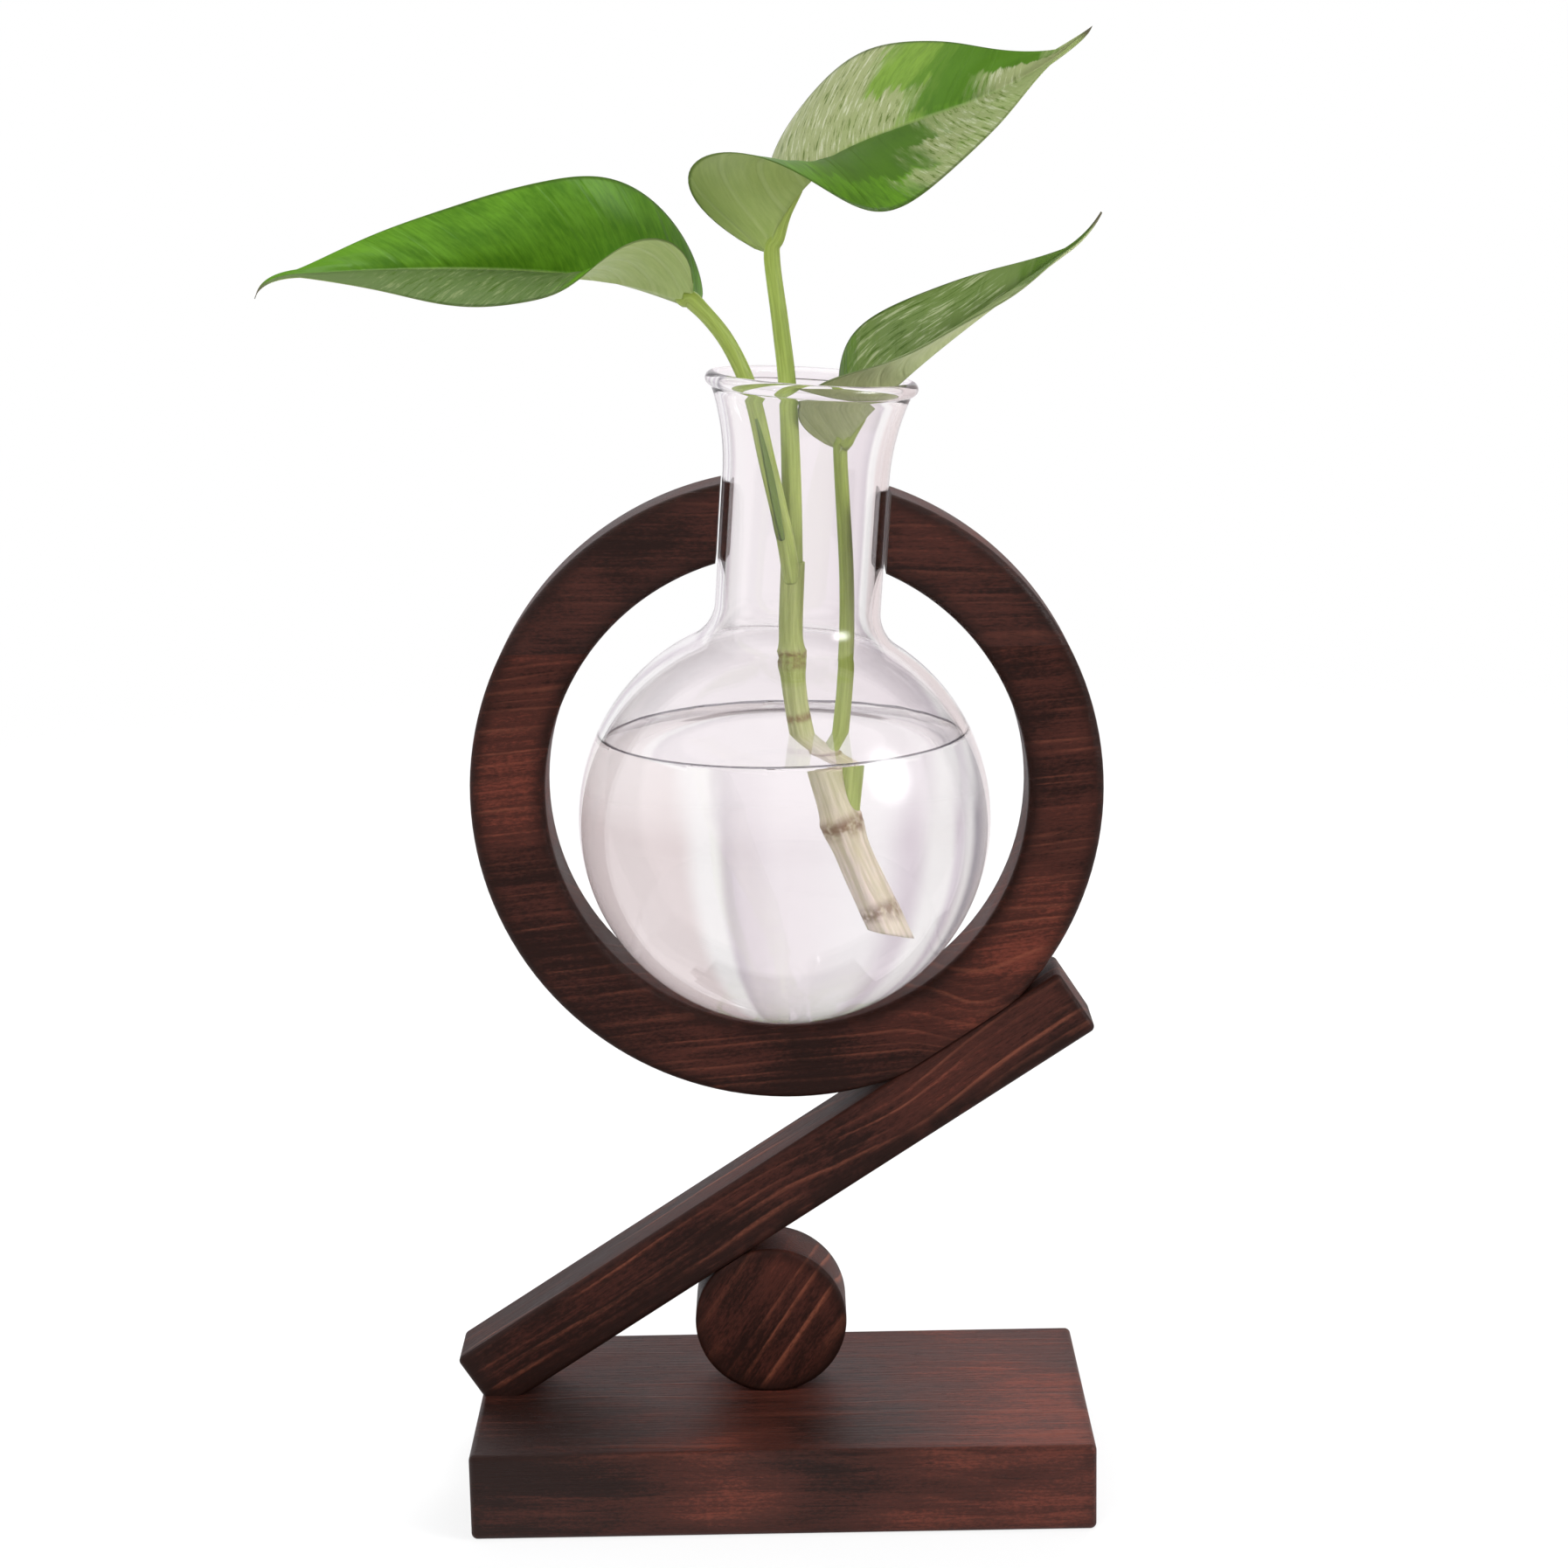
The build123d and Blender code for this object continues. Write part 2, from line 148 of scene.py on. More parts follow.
def vector_calc(tree, operation, *values):
    """Outputs of a vector sum, a Vector and a Value."""
    return add_node(tree, "ShaderNodeVectorMath", dict(enumerate(values)), operation=operation).outputs


def combine(tree, *values):
    return add_node(tree, "ShaderNodeCombineXYZ", dict(enumerate(values))).outputs[0]


def read_attribute(tree, name):
    """Number that the mesh carries at each vertex."""
    return add_node(tree, "ShaderNodeAttribute", attribute_name=name).outputs["Fac"]


def shader(tree, kind, inputs=None):
    return add_node(tree, "ShaderNode" + kind, inputs).outputs[0]


def remap(tree, value, low, high, to_low=0.0, to_high=1.0):
    """Smooth step of a value between two limits."""
    inputs = {"Value": value, "From Min": low, "From Max": high, "To Min": to_low, "To Max": to_high}
    return add_node(tree, "ShaderNodeMapRange", inputs, interpolation_type="SMOOTHSTEP").outputs[0]


def mix(tree, share, first, second, mode="MIX"):
    inputs = {0: share, 6: first, 7: second}
    return add_node(tree, "ShaderNodeMix", inputs, data_type="RGBA", blend_type=mode).outputs[2]


def ramp(tree, value, stops):
    """Colour ramp through (place, colour) stops."""
    made = add_node(tree, "ShaderNodeValToRGB", {0: value})
    band = made.color_ramp
    band.interpolation = "EASE"
    while len(band.elements) < len(stops):
        band.elements.new(0.5)
    for element, (place, shade) in zip(band.elements, stops):
        element.position = place
        element.color = shade
    return made.outputs[0]


def stretch(tree, vector, scales, offset=(0, 0, 0)):
    """Vector with each coordinate multiplied, and moved."""
    return vector_calc(tree, "MULTIPLY_ADD", vector, scales, offset)["Vector"]


def noise(tree, vector, waves, offset=(0, 0, 0), detail=3.0, roughness=0.5):
    """Noise with its number of waves per unit along each coordinate."""
    place = stretch(tree, vector, waves, offset)
    inputs = {"Vector": place, "Scale": 1.0, "Detail": detail, "Roughness": roughness}
    return add_node(tree, "ShaderNodeTexNoise", inputs).outputs["Fac"]


def bump(tree, height, distance, strength=1.0):
    inputs = {"Height": height, "Distance": distance, "Strength": strength}
    return add_node(tree, "ShaderNodeBump", inputs).outputs[0]


def new_material(name):
    material = bpy.data.materials.new(name)
    material.use_nodes = True
    material.node_tree.nodes.clear()
    return material, material.node_tree


def output(tree, surface, volume=None):
    made = add_node(tree, "ShaderNodeOutputMaterial", {"Surface": surface})
    if volume:
        tree.links.new(volume, made.inputs["Volume"])


# Stained wood: noise has its waves per millimetre along a piece, to its back and up from it
grain_depth = 0.12   # relief of the grain, in millimetres
edge_reach = 4.0   # how far the dark edges reach in, in millimetres


def piece_coordinates(tree, origin, angle):
    """Millimetre coordinates along a piece, to its back and up from it, turned in the stand's plane."""
    place = add_node(tree, "ShaderNodeTexCoord").outputs["Object"]
    inputs = {
        "Vector": place,
        "Location": [value * mm for value in origin],
        "Rotation": (0, -radians(angle), 0),
        "Scale": (mm, mm, mm),
    }
    return add_node(tree, "ShaderNodeMapping", inputs, vector_type="TEXTURE").outputs[0]


def split_vector(tree, vector):
    return add_node(tree, "ShaderNodeSeparateXYZ", {0: vector}).outputs


def closeness(tree, value, half):
    """0 inside, 1 where a coordinate reaches half its piece's size."""
    return remap(tree, calc(tree, "ABSOLUTE", value), half - edge_reach, half)


def edge_mask(tree, shares):
    """1 where two closeness values are both high, along the edges of a piece."""
    mask = 0.0
    for first, second in combinations(shares, 2):
        mask = calc(tree, "MAXIMUM", mask, times(tree, first, second))
    return mask


# Edge masks of a board and of a ring or disc, as functions that add their nodes to a material


def box_edges(origin, angle, size):
    def build(tree):
        local = split_vector(tree, piece_coordinates(tree, origin, angle))
        return edge_mask(tree, [closeness(tree, local[at], size[at] / 2) for at in range(3)])
    return build


def round_edges(origin, middle, half):
    def build(tree):
        local = split_vector(tree, piece_coordinates(tree, origin, 0))
        across = times(tree, local[0], local[0])
        radius = calc(tree, "SQRT", scale_add(tree, local[2], local[2], across))
        radial = closeness(tree, calc(tree, "SUBTRACT", radius, middle), half)
        return edge_mask(tree, [radial, closeness(tree, local[1], board / 2)])
    return build


wood_codes = ("21110D", "3F1F18", "643024", "7C402E", "7C4633")
wood_dark, wood_brown, wood_red, wood_glow, wood_light = [colour(code) for code in wood_codes]


def soft_spots(tree, local, spots):
    """Sum of soft spots; each has a place, a reach and an amount in its middle."""
    total = 0.0
    for place, reach, amount in spots:
        away = vector_calc(tree, "DISTANCE", local, place)["Value"]
        total = calc(tree, "ADD", remap(tree, away, 0.0, reach, amount, 0.0), total)
    return total


def wood(
    name, origin, angle, edges, lines, tilt, fan, wander, streak, tone, gloss,
    edge_darkness=1.0, spots=(), swells=(), seed=0.0,
):
    """Dark stained wood: thin uneven growth lines, fibres, redder stain spots and darker spots, edges darker
    than the middle.

    Growth lines lie `lines` mm apart, slope by `tilt` degrees, spread by `fan` and wave by `wander` mm.
    streak, tone, gloss and burn are the strengths of the lines, the red, the shine and the dark edges.
    """
    material, tree = new_material(name)
    local = piece_coordinates(tree, origin, angle)
    seeded = stretch(tree, local, (1, 1, 1), (seed * 37.0, seed * 11.0, seed * 23.0))
    warp = noise(tree, seeded, (0.022, 0.06, 0.07), detail=2.0)
    wave = scale_add(tree, warp, 2 * wander, -wander)
    wave = calc(tree, "ADD", wave, soft_spots(tree, local, swells))
    across_layers = (fan, sin(radians(tilt)), cos(radians(tilt)))
    depth = vector_calc(tree, "DOT_PRODUCT", local, across_layers)["Value"]
    even_layer = calc(tree, "DIVIDE", calc(tree, "ADD", depth, wave), lines)
    year = noise(tree, combine(tree, even_layer, seed), (0.55, 0.55, 0.55), detail=1.0)
    layer = scale_add(tree, year, 2.0, even_layer)
    phase = calc(tree, "FRACT", layer)
    line = times(tree, remap(tree, phase, 0.62, 0.86), remap(tree, phase, 1.0, 0.9))
    along = split_vector(tree, local)[0]
    layer_place = combine(tree, along, calc(tree, "FLOOR", layer), seed)
    vary = noise(tree, layer_place, (0.022, 3.7, 1), detail=2.0)
    line = times(tree, line, remap(tree, vary, 0.42, 0.64))
    fibre = noise(tree, seeded, (0.07, 1.5, 2.0), detail=5.0, roughness=0.62)
    blotch = noise(tree, seeded, (0.03, 0.06, 0.1), roughness=0.55)
    stain = scale_add(tree, fibre, 0.5, scale_add(tree, blotch, 0.9, tone - 0.7))
    stain = scale_add(tree, phase, 0.08, stain)
    stain = calc(tree, "ADD", stain, soft_spots(tree, local, spots))
    speck = noise(tree, seeded, (0.9, 2.2, 2.2), detail=2.0, roughness=0.7)
    stain = calc(tree, "ADD", stain, remap(tree, speck, 0.25, 0.75, -0.1, 0.1))
    stops = [(0.1, wood_dark), (0.42, wood_brown), (0.72, wood_red), (1.0, wood_glow)]
    drawn = times(tree, line, remap(tree, stain, 0.05, 0.45, 0.25 * streak, streak))
    shade = mix(tree, drawn, ramp(tree, stain, stops), wood_light)
    pore = noise(tree, seeded, (0.3, 3.0, 5.0), detail=2.0)
    pores = remap(tree, pore, 0.6, 0.74)
    shade = mix(tree, times(tree, pores, 0.4), shade, wood_dark)
    # Colour darker along the piece's edges, with a ragged strength
    ragged = noise(tree, seeded, (0.25, 0.4, 0.4))
    darkened_edges = times(tree, edges(tree), remap(tree, ragged, 0.25, 0.6, 0.5 * edge_darkness, edge_darkness))
    shade = mix(tree, darkened_edges, shade, wood_dark)
    height = scale_add(tree, pores, -0.7, scale_add(tree, line, 0.4, fibre))
    inputs = {
        "Base Color": shade,
        "Roughness": remap(tree, blotch, 0.2, 0.8, 0.42, 0.56),
        "Normal": bump(tree, height, grain_depth * mm),
        "Specular IOR Level": gloss,
    }
    output(tree, shader(tree, "BsdfPrincipled", inputs))
    return material


def bare_wood(name):
    """Pale dowel wood with fine fibres."""
    material, tree = new_material(name)
    local = piece_coordinates(tree, (0, 0, 0), 0)
    fibre = noise(tree, local, (1.6, 1.6, 0.2), detail=4.0)
    shade = ramp(tree, fibre, [(0.3, colour("A98658")), (0.7, colour("D9BE93"))])
    output(tree, shader(tree, "BsdfPrincipled", {"Base Color": shade, "Roughness": 0.6}))
    return material


def dress(node, material):
    """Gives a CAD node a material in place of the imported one."""
    mesh = nodes[node].data
    mesh.materials.clear()
    mesh.materials.append(material)


plank_low, plank_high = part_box("inclined_plank")
plank_middle = (plank_low + plank_high) / 2 / mm
plank_slope = radians(plank_angle)
plank_span = (plank_high.x - plank_low.x) / mm
plank_length = plank_span / cos(plank_slope) - plank_thickness * tan(plank_slope)
peg_low, peg_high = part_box("round_peg")
peg_middle = round_middle(peg_low, peg_high, peg_radius)
base_middle = (0, 0, base_size[2] / 2)
ring_middle_radius = (ring_radius + bore_radius) / 2
ring_half = (ring_radius - bore_radius) / 2
ring_edges = round_edges(ring_centre, ring_middle_radius, ring_half)

plank_size = (plank_length, board, plank_thickness)
base_edges = box_edges(base_middle, 0, base_size)
plank_edges = box_edges(plank_middle, plank_angle, plank_size)
peg_edges = round_edges(peg_middle, 0, peg_radius)

# Spots: a place from the piece's origin and a reach, in millimetres, and an amount, above 0 redder stain and
# below 0 darker colour
base_spots = [
    ((45, 18, 9), 36, 0.12), ((-14, -31, -2), 20, 0.14), ((-56, -31, -2), 48, -0.3),
    ((48, -31, 0), 50, 0.18), ((-36, -6, 9), 34, -0.16), ((14, -22, 9), 26, -0.2), ((52, -12, 9), 24, 0.1),
]
plank_spots = [((-62, 0, 0), 64, -0.2)]
arc_spots = [
    ((-54, 0, 16), 30, 0.2), ((-46, 0, -30), 34, -0.2), ((0, 0, -54), 30, -0.1), ((43, 0, -36), 28, 0.38),
]
woods = {
    "base_block": wood(
        "base_wood", base_middle, 0, base_edges, lines=2.6, tilt=50, fan=0.015, wander=2.5, streak=0.12,
        tone=0.34, gloss=0.24, edge_darkness=0.4, spots=base_spots, seed=1,
    ),
    "inclined_plank": wood(
        "plank_wood", plank_middle, plank_angle, plank_edges, lines=2.4, tilt=25, fan=0.012, wander=1.7,
        streak=0.62, tone=0.29, gloss=0.14, spots=plank_spots, swells=[((30, -8, 1), 30, 2.6)], seed=2,
    ),
    "round_peg": wood(
        "peg_wood", peg_middle, 57, peg_edges, lines=4.2, tilt=12, fan=0.02, wander=1.0, streak=0.8,
        tone=0.25, gloss=0.1, seed=3,
    ),
    "ring_lower_arc": wood(
        "arc_wood", ring_centre, 5, ring_edges, lines=2.0, tilt=20, fan=0.0, wander=1.6, streak=0.34,
        tone=0.27, gloss=0.12, spots=arc_spots, swells=[((34, -8, -47), 18, 5.0)], seed=4,
    ),
    "ring_left_horn": wood(
        "left_horn_wood", ring_centre, 0, ring_edges, lines=2.2, tilt=20, fan=0.02, wander=1.6, streak=0.1,
        tone=0.25, gloss=0.2, seed=5,
    ),
    "ring_right_horn": wood(
        "right_horn_wood", ring_centre, 0, ring_edges, lines=2.2, tilt=20, fan=0.02, wander=1.6, streak=0.14,
        tone=0.31, gloss=0.2, seed=6,
    ),
}
for node, material in woods.items():
    dress(node, material)
dowel_material = bare_wood("dowel_wood")
for node in ("base_dowel", "plank_dowel", "ring_dowels"):
    dress(node, dowel_material)


# Meshes of the flask, the water and the cutting


def mesh_piece(name, vertices, faces, body, material, replaced=()):
    """Smooth mesh from millimetre vertices, riding on a body in place of CAD nodes."""
    mesh = bpy.data.meshes.new(name)
    mesh.from_pydata([tuple(float(value) * mm for value in vertex) for vertex in vertices], [], faces)
    mesh.update()
    fixed = bmesh.new()
    fixed.from_mesh(mesh)
    bmesh.ops.recalc_face_normals(fixed, faces=fixed.faces)
    fixed.to_mesh(mesh)
    fixed.free()
    mesh.shade_smooth()
    mesh.materials.append(material)
    piece = add_object(name, mesh)
    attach(piece, body)
    if replaced:
        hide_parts(*replaced)
    return piece


def attribute(piece, name, values):
    """Per-vertex number that a material can read."""
    layer = piece.data.attributes.new(name, "FLOAT", "POINT")
    layer.data.foreach_set("value", np.asarray(values, np.float32))


def in_flask_axes(across, rise, back):
    """Place beside the flask's axis, from millimetres across, along the axis and to the back."""
    return ring_centre + flask_across * across + flask_up * rise + flask_back * back


def arc(centre, radius, start, end, steps):
    """Points of an arc between two angles in degrees."""
    x, y = centre
    angles = np.radians(np.linspace(start, end, steps))
    return [(x + radius * cos(angle), y + radius * sin(angle)) for angle in angles]


def angle_to(centre, point):
    return degrees(atan2(point[1] - centre[1], point[0] - centre[0]))


def flask_outline(sphere, floor, neck, mouth, heel, shoulder):
    """Half outline of a flask, (radius, level) from the axis at the floor to the mouth."""
    ball = (0.0, bulb_level)
    heel_level = floor + heel
    heel_centre = (sqrt((sphere - heel) ** 2 - (bulb_level - heel_level) ** 2), heel_level)
    shoulder_level = bulb_level + sqrt((sphere + shoulder) ** 2 - (neck + shoulder) ** 2)
    shoulder_centre = (neck + shoulder, shoulder_level)
    flare = mouth - neck
    flare_radius = (flare_height**2 + flare**2) / (2 * flare)
    flare_angle = degrees(asin(flare_height / flare_radius))
    heel_angle = angle_to(ball, heel_centre)
    shoulder_angle = angle_to(ball, shoulder_centre)
    points = [(at * heel_centre[0] / 6, floor) for at in range(6)]
    points += arc(heel_centre, heel, -90, heel_angle, 10)
    points += arc(ball, sphere, heel_angle, shoulder_angle, 72)[1:]
    points += arc(shoulder_centre, shoulder, shoulder_angle + 180, 180, 14)[1:]
    points += [(neck, shoulder_level + share * (flare_level - shoulder_level)) for share in (0.33, 0.67)]
    points += arc((neck + flare_radius, flare_level), flare_radius, 180, 180 - flare_angle, 20)
    return points


def lathe(outline, segments):
    """Vertices and faces of an outline turned about the flask's axis; its ends on the axis stay points."""
    vertices = []
    rings = []
    for radius, level in outline:
        count = 1 if radius < 1e-6 else segments
        rings.append(list(range(len(vertices), len(vertices) + count)))
        for at in range(count):
            turn = 2 * pi * at / segments
            vertices.append(in_flask_axes(radius * cos(turn), level, radius * sin(turn)))
    faces = []
    for lower, upper in zip(rings, rings[1:]):
        for at in range(segments):
            after = (at + 1) % segments
            if len(lower) == 1:
                faces.append((lower[0], upper[after], upper[at]))
            elif len(upper) == 1:
                faces.append((lower[at], lower[after], upper[0]))
            else:
                faces.append((lower[at], lower[after], upper[after], upper[at]))
    return vertices, faces


# Surfaces that a ray bends at before it goes straight on
longest_path = 8


def clear_material(name, tint, ior, absorb, density, unevenness):
    """Clear glass or water: bends light, darkens with depth; lamp light and long paths go straight on."""
    material, tree = new_material(name)
    place = piece_coordinates(tree, ring_centre, -flask_lean)
    swirl = noise(tree, place, (0.09, 0.09, 0.018), detail=1.0)
    inputs = {
        "Base Color": tint,
        "Roughness": 0.0,
        "IOR": ior,
        "Transmission Weight": 1.0,
        "Normal": bump(tree, swirl, unevenness * mm),
    }
    bent = shader(tree, "BsdfPrincipled", inputs)
    straight = shader(tree, "BsdfTransparent", {"Color": tint})
    path = add_node(tree, "ShaderNodeLightPath").outputs
    long_path = calc(tree, "GREATER_THAN", path["Ray Depth"], longest_path)
    share = calc(tree, "MAXIMUM", path["Is Shadow Ray"], long_path)
    surface = shader(tree, "MixShader", {0: share, 1: bent, 2: straight})
    volume = shader(tree, "VolumeAbsorption", {"Color": absorb, "Density": density})
    output(tree, surface, volume)
    return material


def inner_outline(grow=0.0):
    """Half outline of the flask's inside, grown into the glass."""
    return flask_outline(
        bulb_radius - glass_wall + grow,
        flask_floor + glass_floor - grow,
        neck_bore + grow,
        mouth_radius - glass_wall + grow,
        heel_round - glass_wall,
        shoulder_round + glass_wall,
    )


def build_flask():
    """Flask with one even wall, a rounded foot and a bead round the mouth."""
    outer = flask_outline(bulb_radius, flask_floor, neck_radius, mouth_radius, heel_round, shoulder_round)
    inner = inner_outline()
    bead = (mouth_radius - glass_wall / 2, mouth_rise)
    clear = bead_radius * 1.02
    outer = [point for point in outer if dist(point, bead) > clear]
    inner = [point for point in inner if dist(point, bead) > clear]
    start = angle_to(bead, outer[-1])
    end = angle_to(bead, inner[-1]) % 360
    outline = outer + arc(bead, bead_radius, start, end, 22) + inner[::-1]
    vertices, faces = lathe(outline, flask_segments)
    glass = clear_material("flask_glass", colour("FDFCFC"), 1.47, colour("BDB7BA"), 26.0, 0.05)
    return mesh_piece("flask", vertices, faces, "flask", glass, ["glass_flask"])


def build_water():
    """Water up to a level line, with a raised edge where it meets the glass."""
    vertices, faces = lathe(inner_outline(water_overlap), water_segments)
    body = bmesh.new()
    made = [body.verts.new(vertex) for vertex in vertices]
    for face in faces:
        body.faces.new([made[at] for at in face])
    top = water_level + meniscus_height
    cut = body.verts[:] + body.edges[:] + body.faces[:]
    bmesh.ops.bisect_plane(body, geom=cut, plane_co=(0, 0, top), plane_no=(0, 0, 1), clear_outer=True)
    middle = in_flask_axes(0, bulb_level, 0)
    rim = [vert for vert in body.verts if abs(vert.co.z - top) < 1e-4]
    rim.sort(key=lambda vert: atan2(vert.co.y - middle.y, vert.co.x - middle.x))
    radius = (rim[0].co.xy - middle.xy).length
    lower = rim
    for inset in surface_rings:
        share = 1 - inset / radius
        level = water_level + meniscus_height * exp(-inset / meniscus_reach * 2)
        ring = []
        for vert in rim:
            flat = middle.xy + (vert.co.xy - middle.xy) * share
            ring.append(body.verts.new((flat.x, flat.y, level)))
        for at in range(len(rim)):
            after = (at + 1) % len(rim)
            body.faces.new((lower[at], lower[after], ring[after], ring[at]))
        lower = ring
    body.faces.new(lower)
    body.verts.index_update()
    points = [vert.co.copy() for vert in body.verts]
    polygons = [[vert.index for vert in face.verts] for face in body.faces]
    body.free()
    water = clear_material("water", colour("FFFFFF"), 1.333, colour("CDC6CA"), 1.5, 0.0)
    return mesh_piece("water", points, polygons, "flask", water)


def build_waterline():
    """Thin bead of water that climbs the glass all round; its grey absorption is painted shade, the fine dark
    line at the water's edge.
    """
    middle = in_flask_axes(0, bulb_level, 0)
    level = water_level + meniscus_height
    reach = sqrt((bulb_radius - glass_wall) ** 2 - (level - middle.z) ** 2) - waterline_radius
    vertices = []
    faces = []
    sides = 8
    for at in range(water_segments):
        turn = 2 * pi * at / water_segments
        for side in range(sides):
            roll = 2 * pi * side / sides
            out = reach + waterline_radius * cos(roll)
            rise = waterline_radius * sin(roll)
            x = middle.x + out * cos(turn)
            y = middle.y + out * sin(turn)
            vertices.append((x, y, level + rise))
            after = (at + 1) % water_segments * sides
            next_side = (side + 1) % sides
            faces.append((at * sides + side, after + side, after + next_side, at * sides + next_side))
    # Painted shade: a strong grey absorption darkens this clear water into the fine dark line at the water's
    # edge
    line = clear_material("waterline", colour("F4F4F6"), 1.333, colour("8E8C96"), 2600.0, 0.0)
    return mesh_piece("waterline", vertices, faces, "flask", line)


clear_pieces = [build_flask(), build_water(), build_waterline()]


# Cutting: routes as shares of the flask, as in the part's source


def in_flask(across_share, back_share, rise_share):
    """Place beside the flask's axis: shares of the neck's bore and of the way from bulb to mouth."""
    level = bulb_level + rise_share * (mouth_rise - bulb_level)
    return in_flask_axes(across_share * neck_bore, level, back_share * neck_bore)


stem_shares = [
    (1.10, 0.20, -0.195), (0.62, 0.23, -0.03), (0.18, 0.21, 0.18), (-0.04, 0.22, 0.37), (-0.10, 0.21, 0.59),
]

# Leaves: the stalk's route, then the blade's length and half width in millimetres, its midrib as shares of
# the length, and its roll and the folds of its halves in degrees, at the stalk, the middle and the tip
left_leaf = {
    "stalk_shares": [
        (-0.10, 0.16, 0.55), (-0.24, -0.10, 0.66), (-0.52, -0.06, 0.82),
        (-0.79, 0.03, 0.97), (-1.16, 0.09, 1.085), (-1.62, 0.11, 1.165),
    ],
    "length": 83.0,
    "half_width": 18.2,
    "rib_shares": [(-0.248, 0.082, 0.081), (-0.571, 0.089, 0.095), (-1.019, -0.334, 0.089)],
    "tip_shares": (0.079, 0, -0.041),
    "rolls": (-14, 24, 2),
    "right_folds": (5, 80, 12),
    "left_folds": (50, 2, -32),
}
top_leaf = {
    "stalk_shares": [
        (-0.10, 0.21, 0.56), (-0.18, 0.22, 0.76), (-0.31, 0.20, 0.98),
        (-0.45, 0.21, 1.12), (-0.62, 0.21, 1.275),
    ],
    "length": 78.0,
    "half_width": 21.8,
    "rib_shares": [(0.071, -0.032, 0.395), (0.495, -0.082, 0.227), (0.773, -0.408, 0.561)],
    "tip_shares": (-0.04, 0, -0.04),
    "rolls": (18, -33, -13),
    "right_folds": (99, -19, 21),
    "left_folds": (40, 26, 115),
}
right_leaf = {
    "stalk_shares": [
        (0.62, 0.22, 0.0), (0.68, 0.27, 0.18), (0.70, 0.25, 0.36), (0.64, 0.26, 0.56), (0.44, 0.20, 0.85),
    ],
    "length": 70.7,
    "half_width": 13.2,
    "rib_shares": [(0.076, -0.058, 0.18), (0.379, -0.188, 0.381), (0.746, 0.176, 0.598)],
    "tip_shares": (-0.028, 0, 0.02),
    "rolls": (10, -23, -6),
    "right_folds": (53, 35, 33),
    "left_folds": (41, 44, 2),
}
sheath_leaf = {
    "stalk_shares": [(-0.20, -0.26, 0.63)],
    "length": 32.0,
    "half_width": 2.4,
    "rib_shares": [(-0.03, -0.01, 0.33), (-0.09, -0.02, 0.66), (-0.22, 0.02, 0.97)],
    "tip_shares": (0, 0, 0),
    "rolls": (0, 0, 0),
    "right_folds": (-35, -35, -20),
    "left_folds": (-35, -35, -20),
}

# Form of every blade, in shares of its length and width
width_rise = 0.42
width_fall = 1.05
blade_share = 0.88   # of the length, the rest is the drip tip
tip_width = 0.05
camber = 0.06
vein_slant = 0.16   # how far the veins run towards the tip
vein_bend = 1.2
vein_rate = 26 * 2 * pi / 2.2   # waves of the veins along a blade, in radians
margin_rate = 19   # waves of the margin, in radians
widest_share = width_rise / (width_rise + width_fall)

# Relief of every blade, in millimetres
quilt_height = 0.13
wavy_width = 8.0   # half width from which the relief is full
rib_height = 0.9
rib_reach = 0.9
rib_groove = 0.12
rib_groove_reach = 0.5
margin_thickness = 0.28
rib_thickness = 0.22   # more than at the margin
plain_width = 2.0   # half width below which a blade has no pattern
patterned_width = 7.0   # half width from which its pattern is full


def width_share(at):
    """Half width at a share of the length, with a narrow drip tip."""
    widest = widest_share**width_rise * (1 - widest_share) ** width_fall
    along = min(at / blade_share, 1.0)
    broad = along**width_rise * (1 - along) ** width_fall / widest
    return broad + tip_width * min((1 - at) / (1 - blade_share), 1.0)


def three_way(values, at):
    """Smooth value at a share of the length, from those at the base, middle and tip."""
    base, middle, tip = values
    return base * (1 - at) * (1 - 2 * at) + middle * 4 * at * (1 - at) + tip * at * (2 * at - 1)


def blade_axes(leaf, at):
    """Point, side and upward normal of a blade's midrib, a cubic curve with a bend in its tip."""
    p0 = in_flask(*leaf["stalk_shares"][-1])
    p1, p2, p3 = [p0 + Vector(share) * leaf["length"] for share in leaf["rib_shares"]]
    point = p0 * (1 - at) ** 3 + p1 * 3 * at * (1 - at) ** 2 + p2 * 3 * at**2 * (1 - at) + p3 * at**3
    run = ((p1 - p0) * (1 - at) ** 2 + (p2 - p1) * 2 * at * (1 - at) + (p3 - p2) * at**2) * 3
    into_tip = max(at - blade_share, 0.0) / (1 - blade_share)
    tip_bend = Vector(leaf["tip_shares"]) * leaf["length"]
    point += tip_bend * into_tip**2
    run += tip_bend * (2 * into_tip / (1 - blade_share))
    run.normalize()
    level_side = run.cross(Vector((0, 0, 1))).normalized()
    side = Matrix.Rotation(radians(-three_way(leaf["rolls"], at)), 3, run) @ level_side
    return point, side, side.cross(run).normalized()


def smooth_route(points, steps):
    """Points of an even smooth curve through the given ones, with its directions."""
    knots = [points[0] * 2 - points[1], *points, points[-1] * 2 - points[-2]]
    line = []
    for p0, p1, p2, p3 in zip(knots, knots[1:], knots[2:], knots[3:]):
        square = p0 * 2 - p1 * 5 + p2 * 4 - p3
        cube = p1 * 3 - p0 - p2 * 3 + p3
        for t in np.linspace(0, 1, 24, endpoint=False):
            line.append((p1 * 2 + (p2 - p0) * t + square * t**2 + cube * t**3) / 2)
    line.append(points[-1])
    runs = np.cumsum([0] + [(b - a).length for a, b in zip(line, line[1:])])
    wanted = np.linspace(0, runs[-1], steps)
    coordinates = np.array([tuple(point) for point in line]).T
    even = [Vector([np.interp(at, runs, axis) for axis in coordinates]) for at in wanted]
    before, after = even[:1] + even[:-1], even[1:] + even[-1:]
    return even, [(second - first).normalized() for first, second in zip(before, after)]


shoot_sides = 28
groove_turn = 1.2   # where the groove lies round a shoot, in radians
groove_spread = 0.18
slant_rows = 8   # rows over which a sloping end fades out


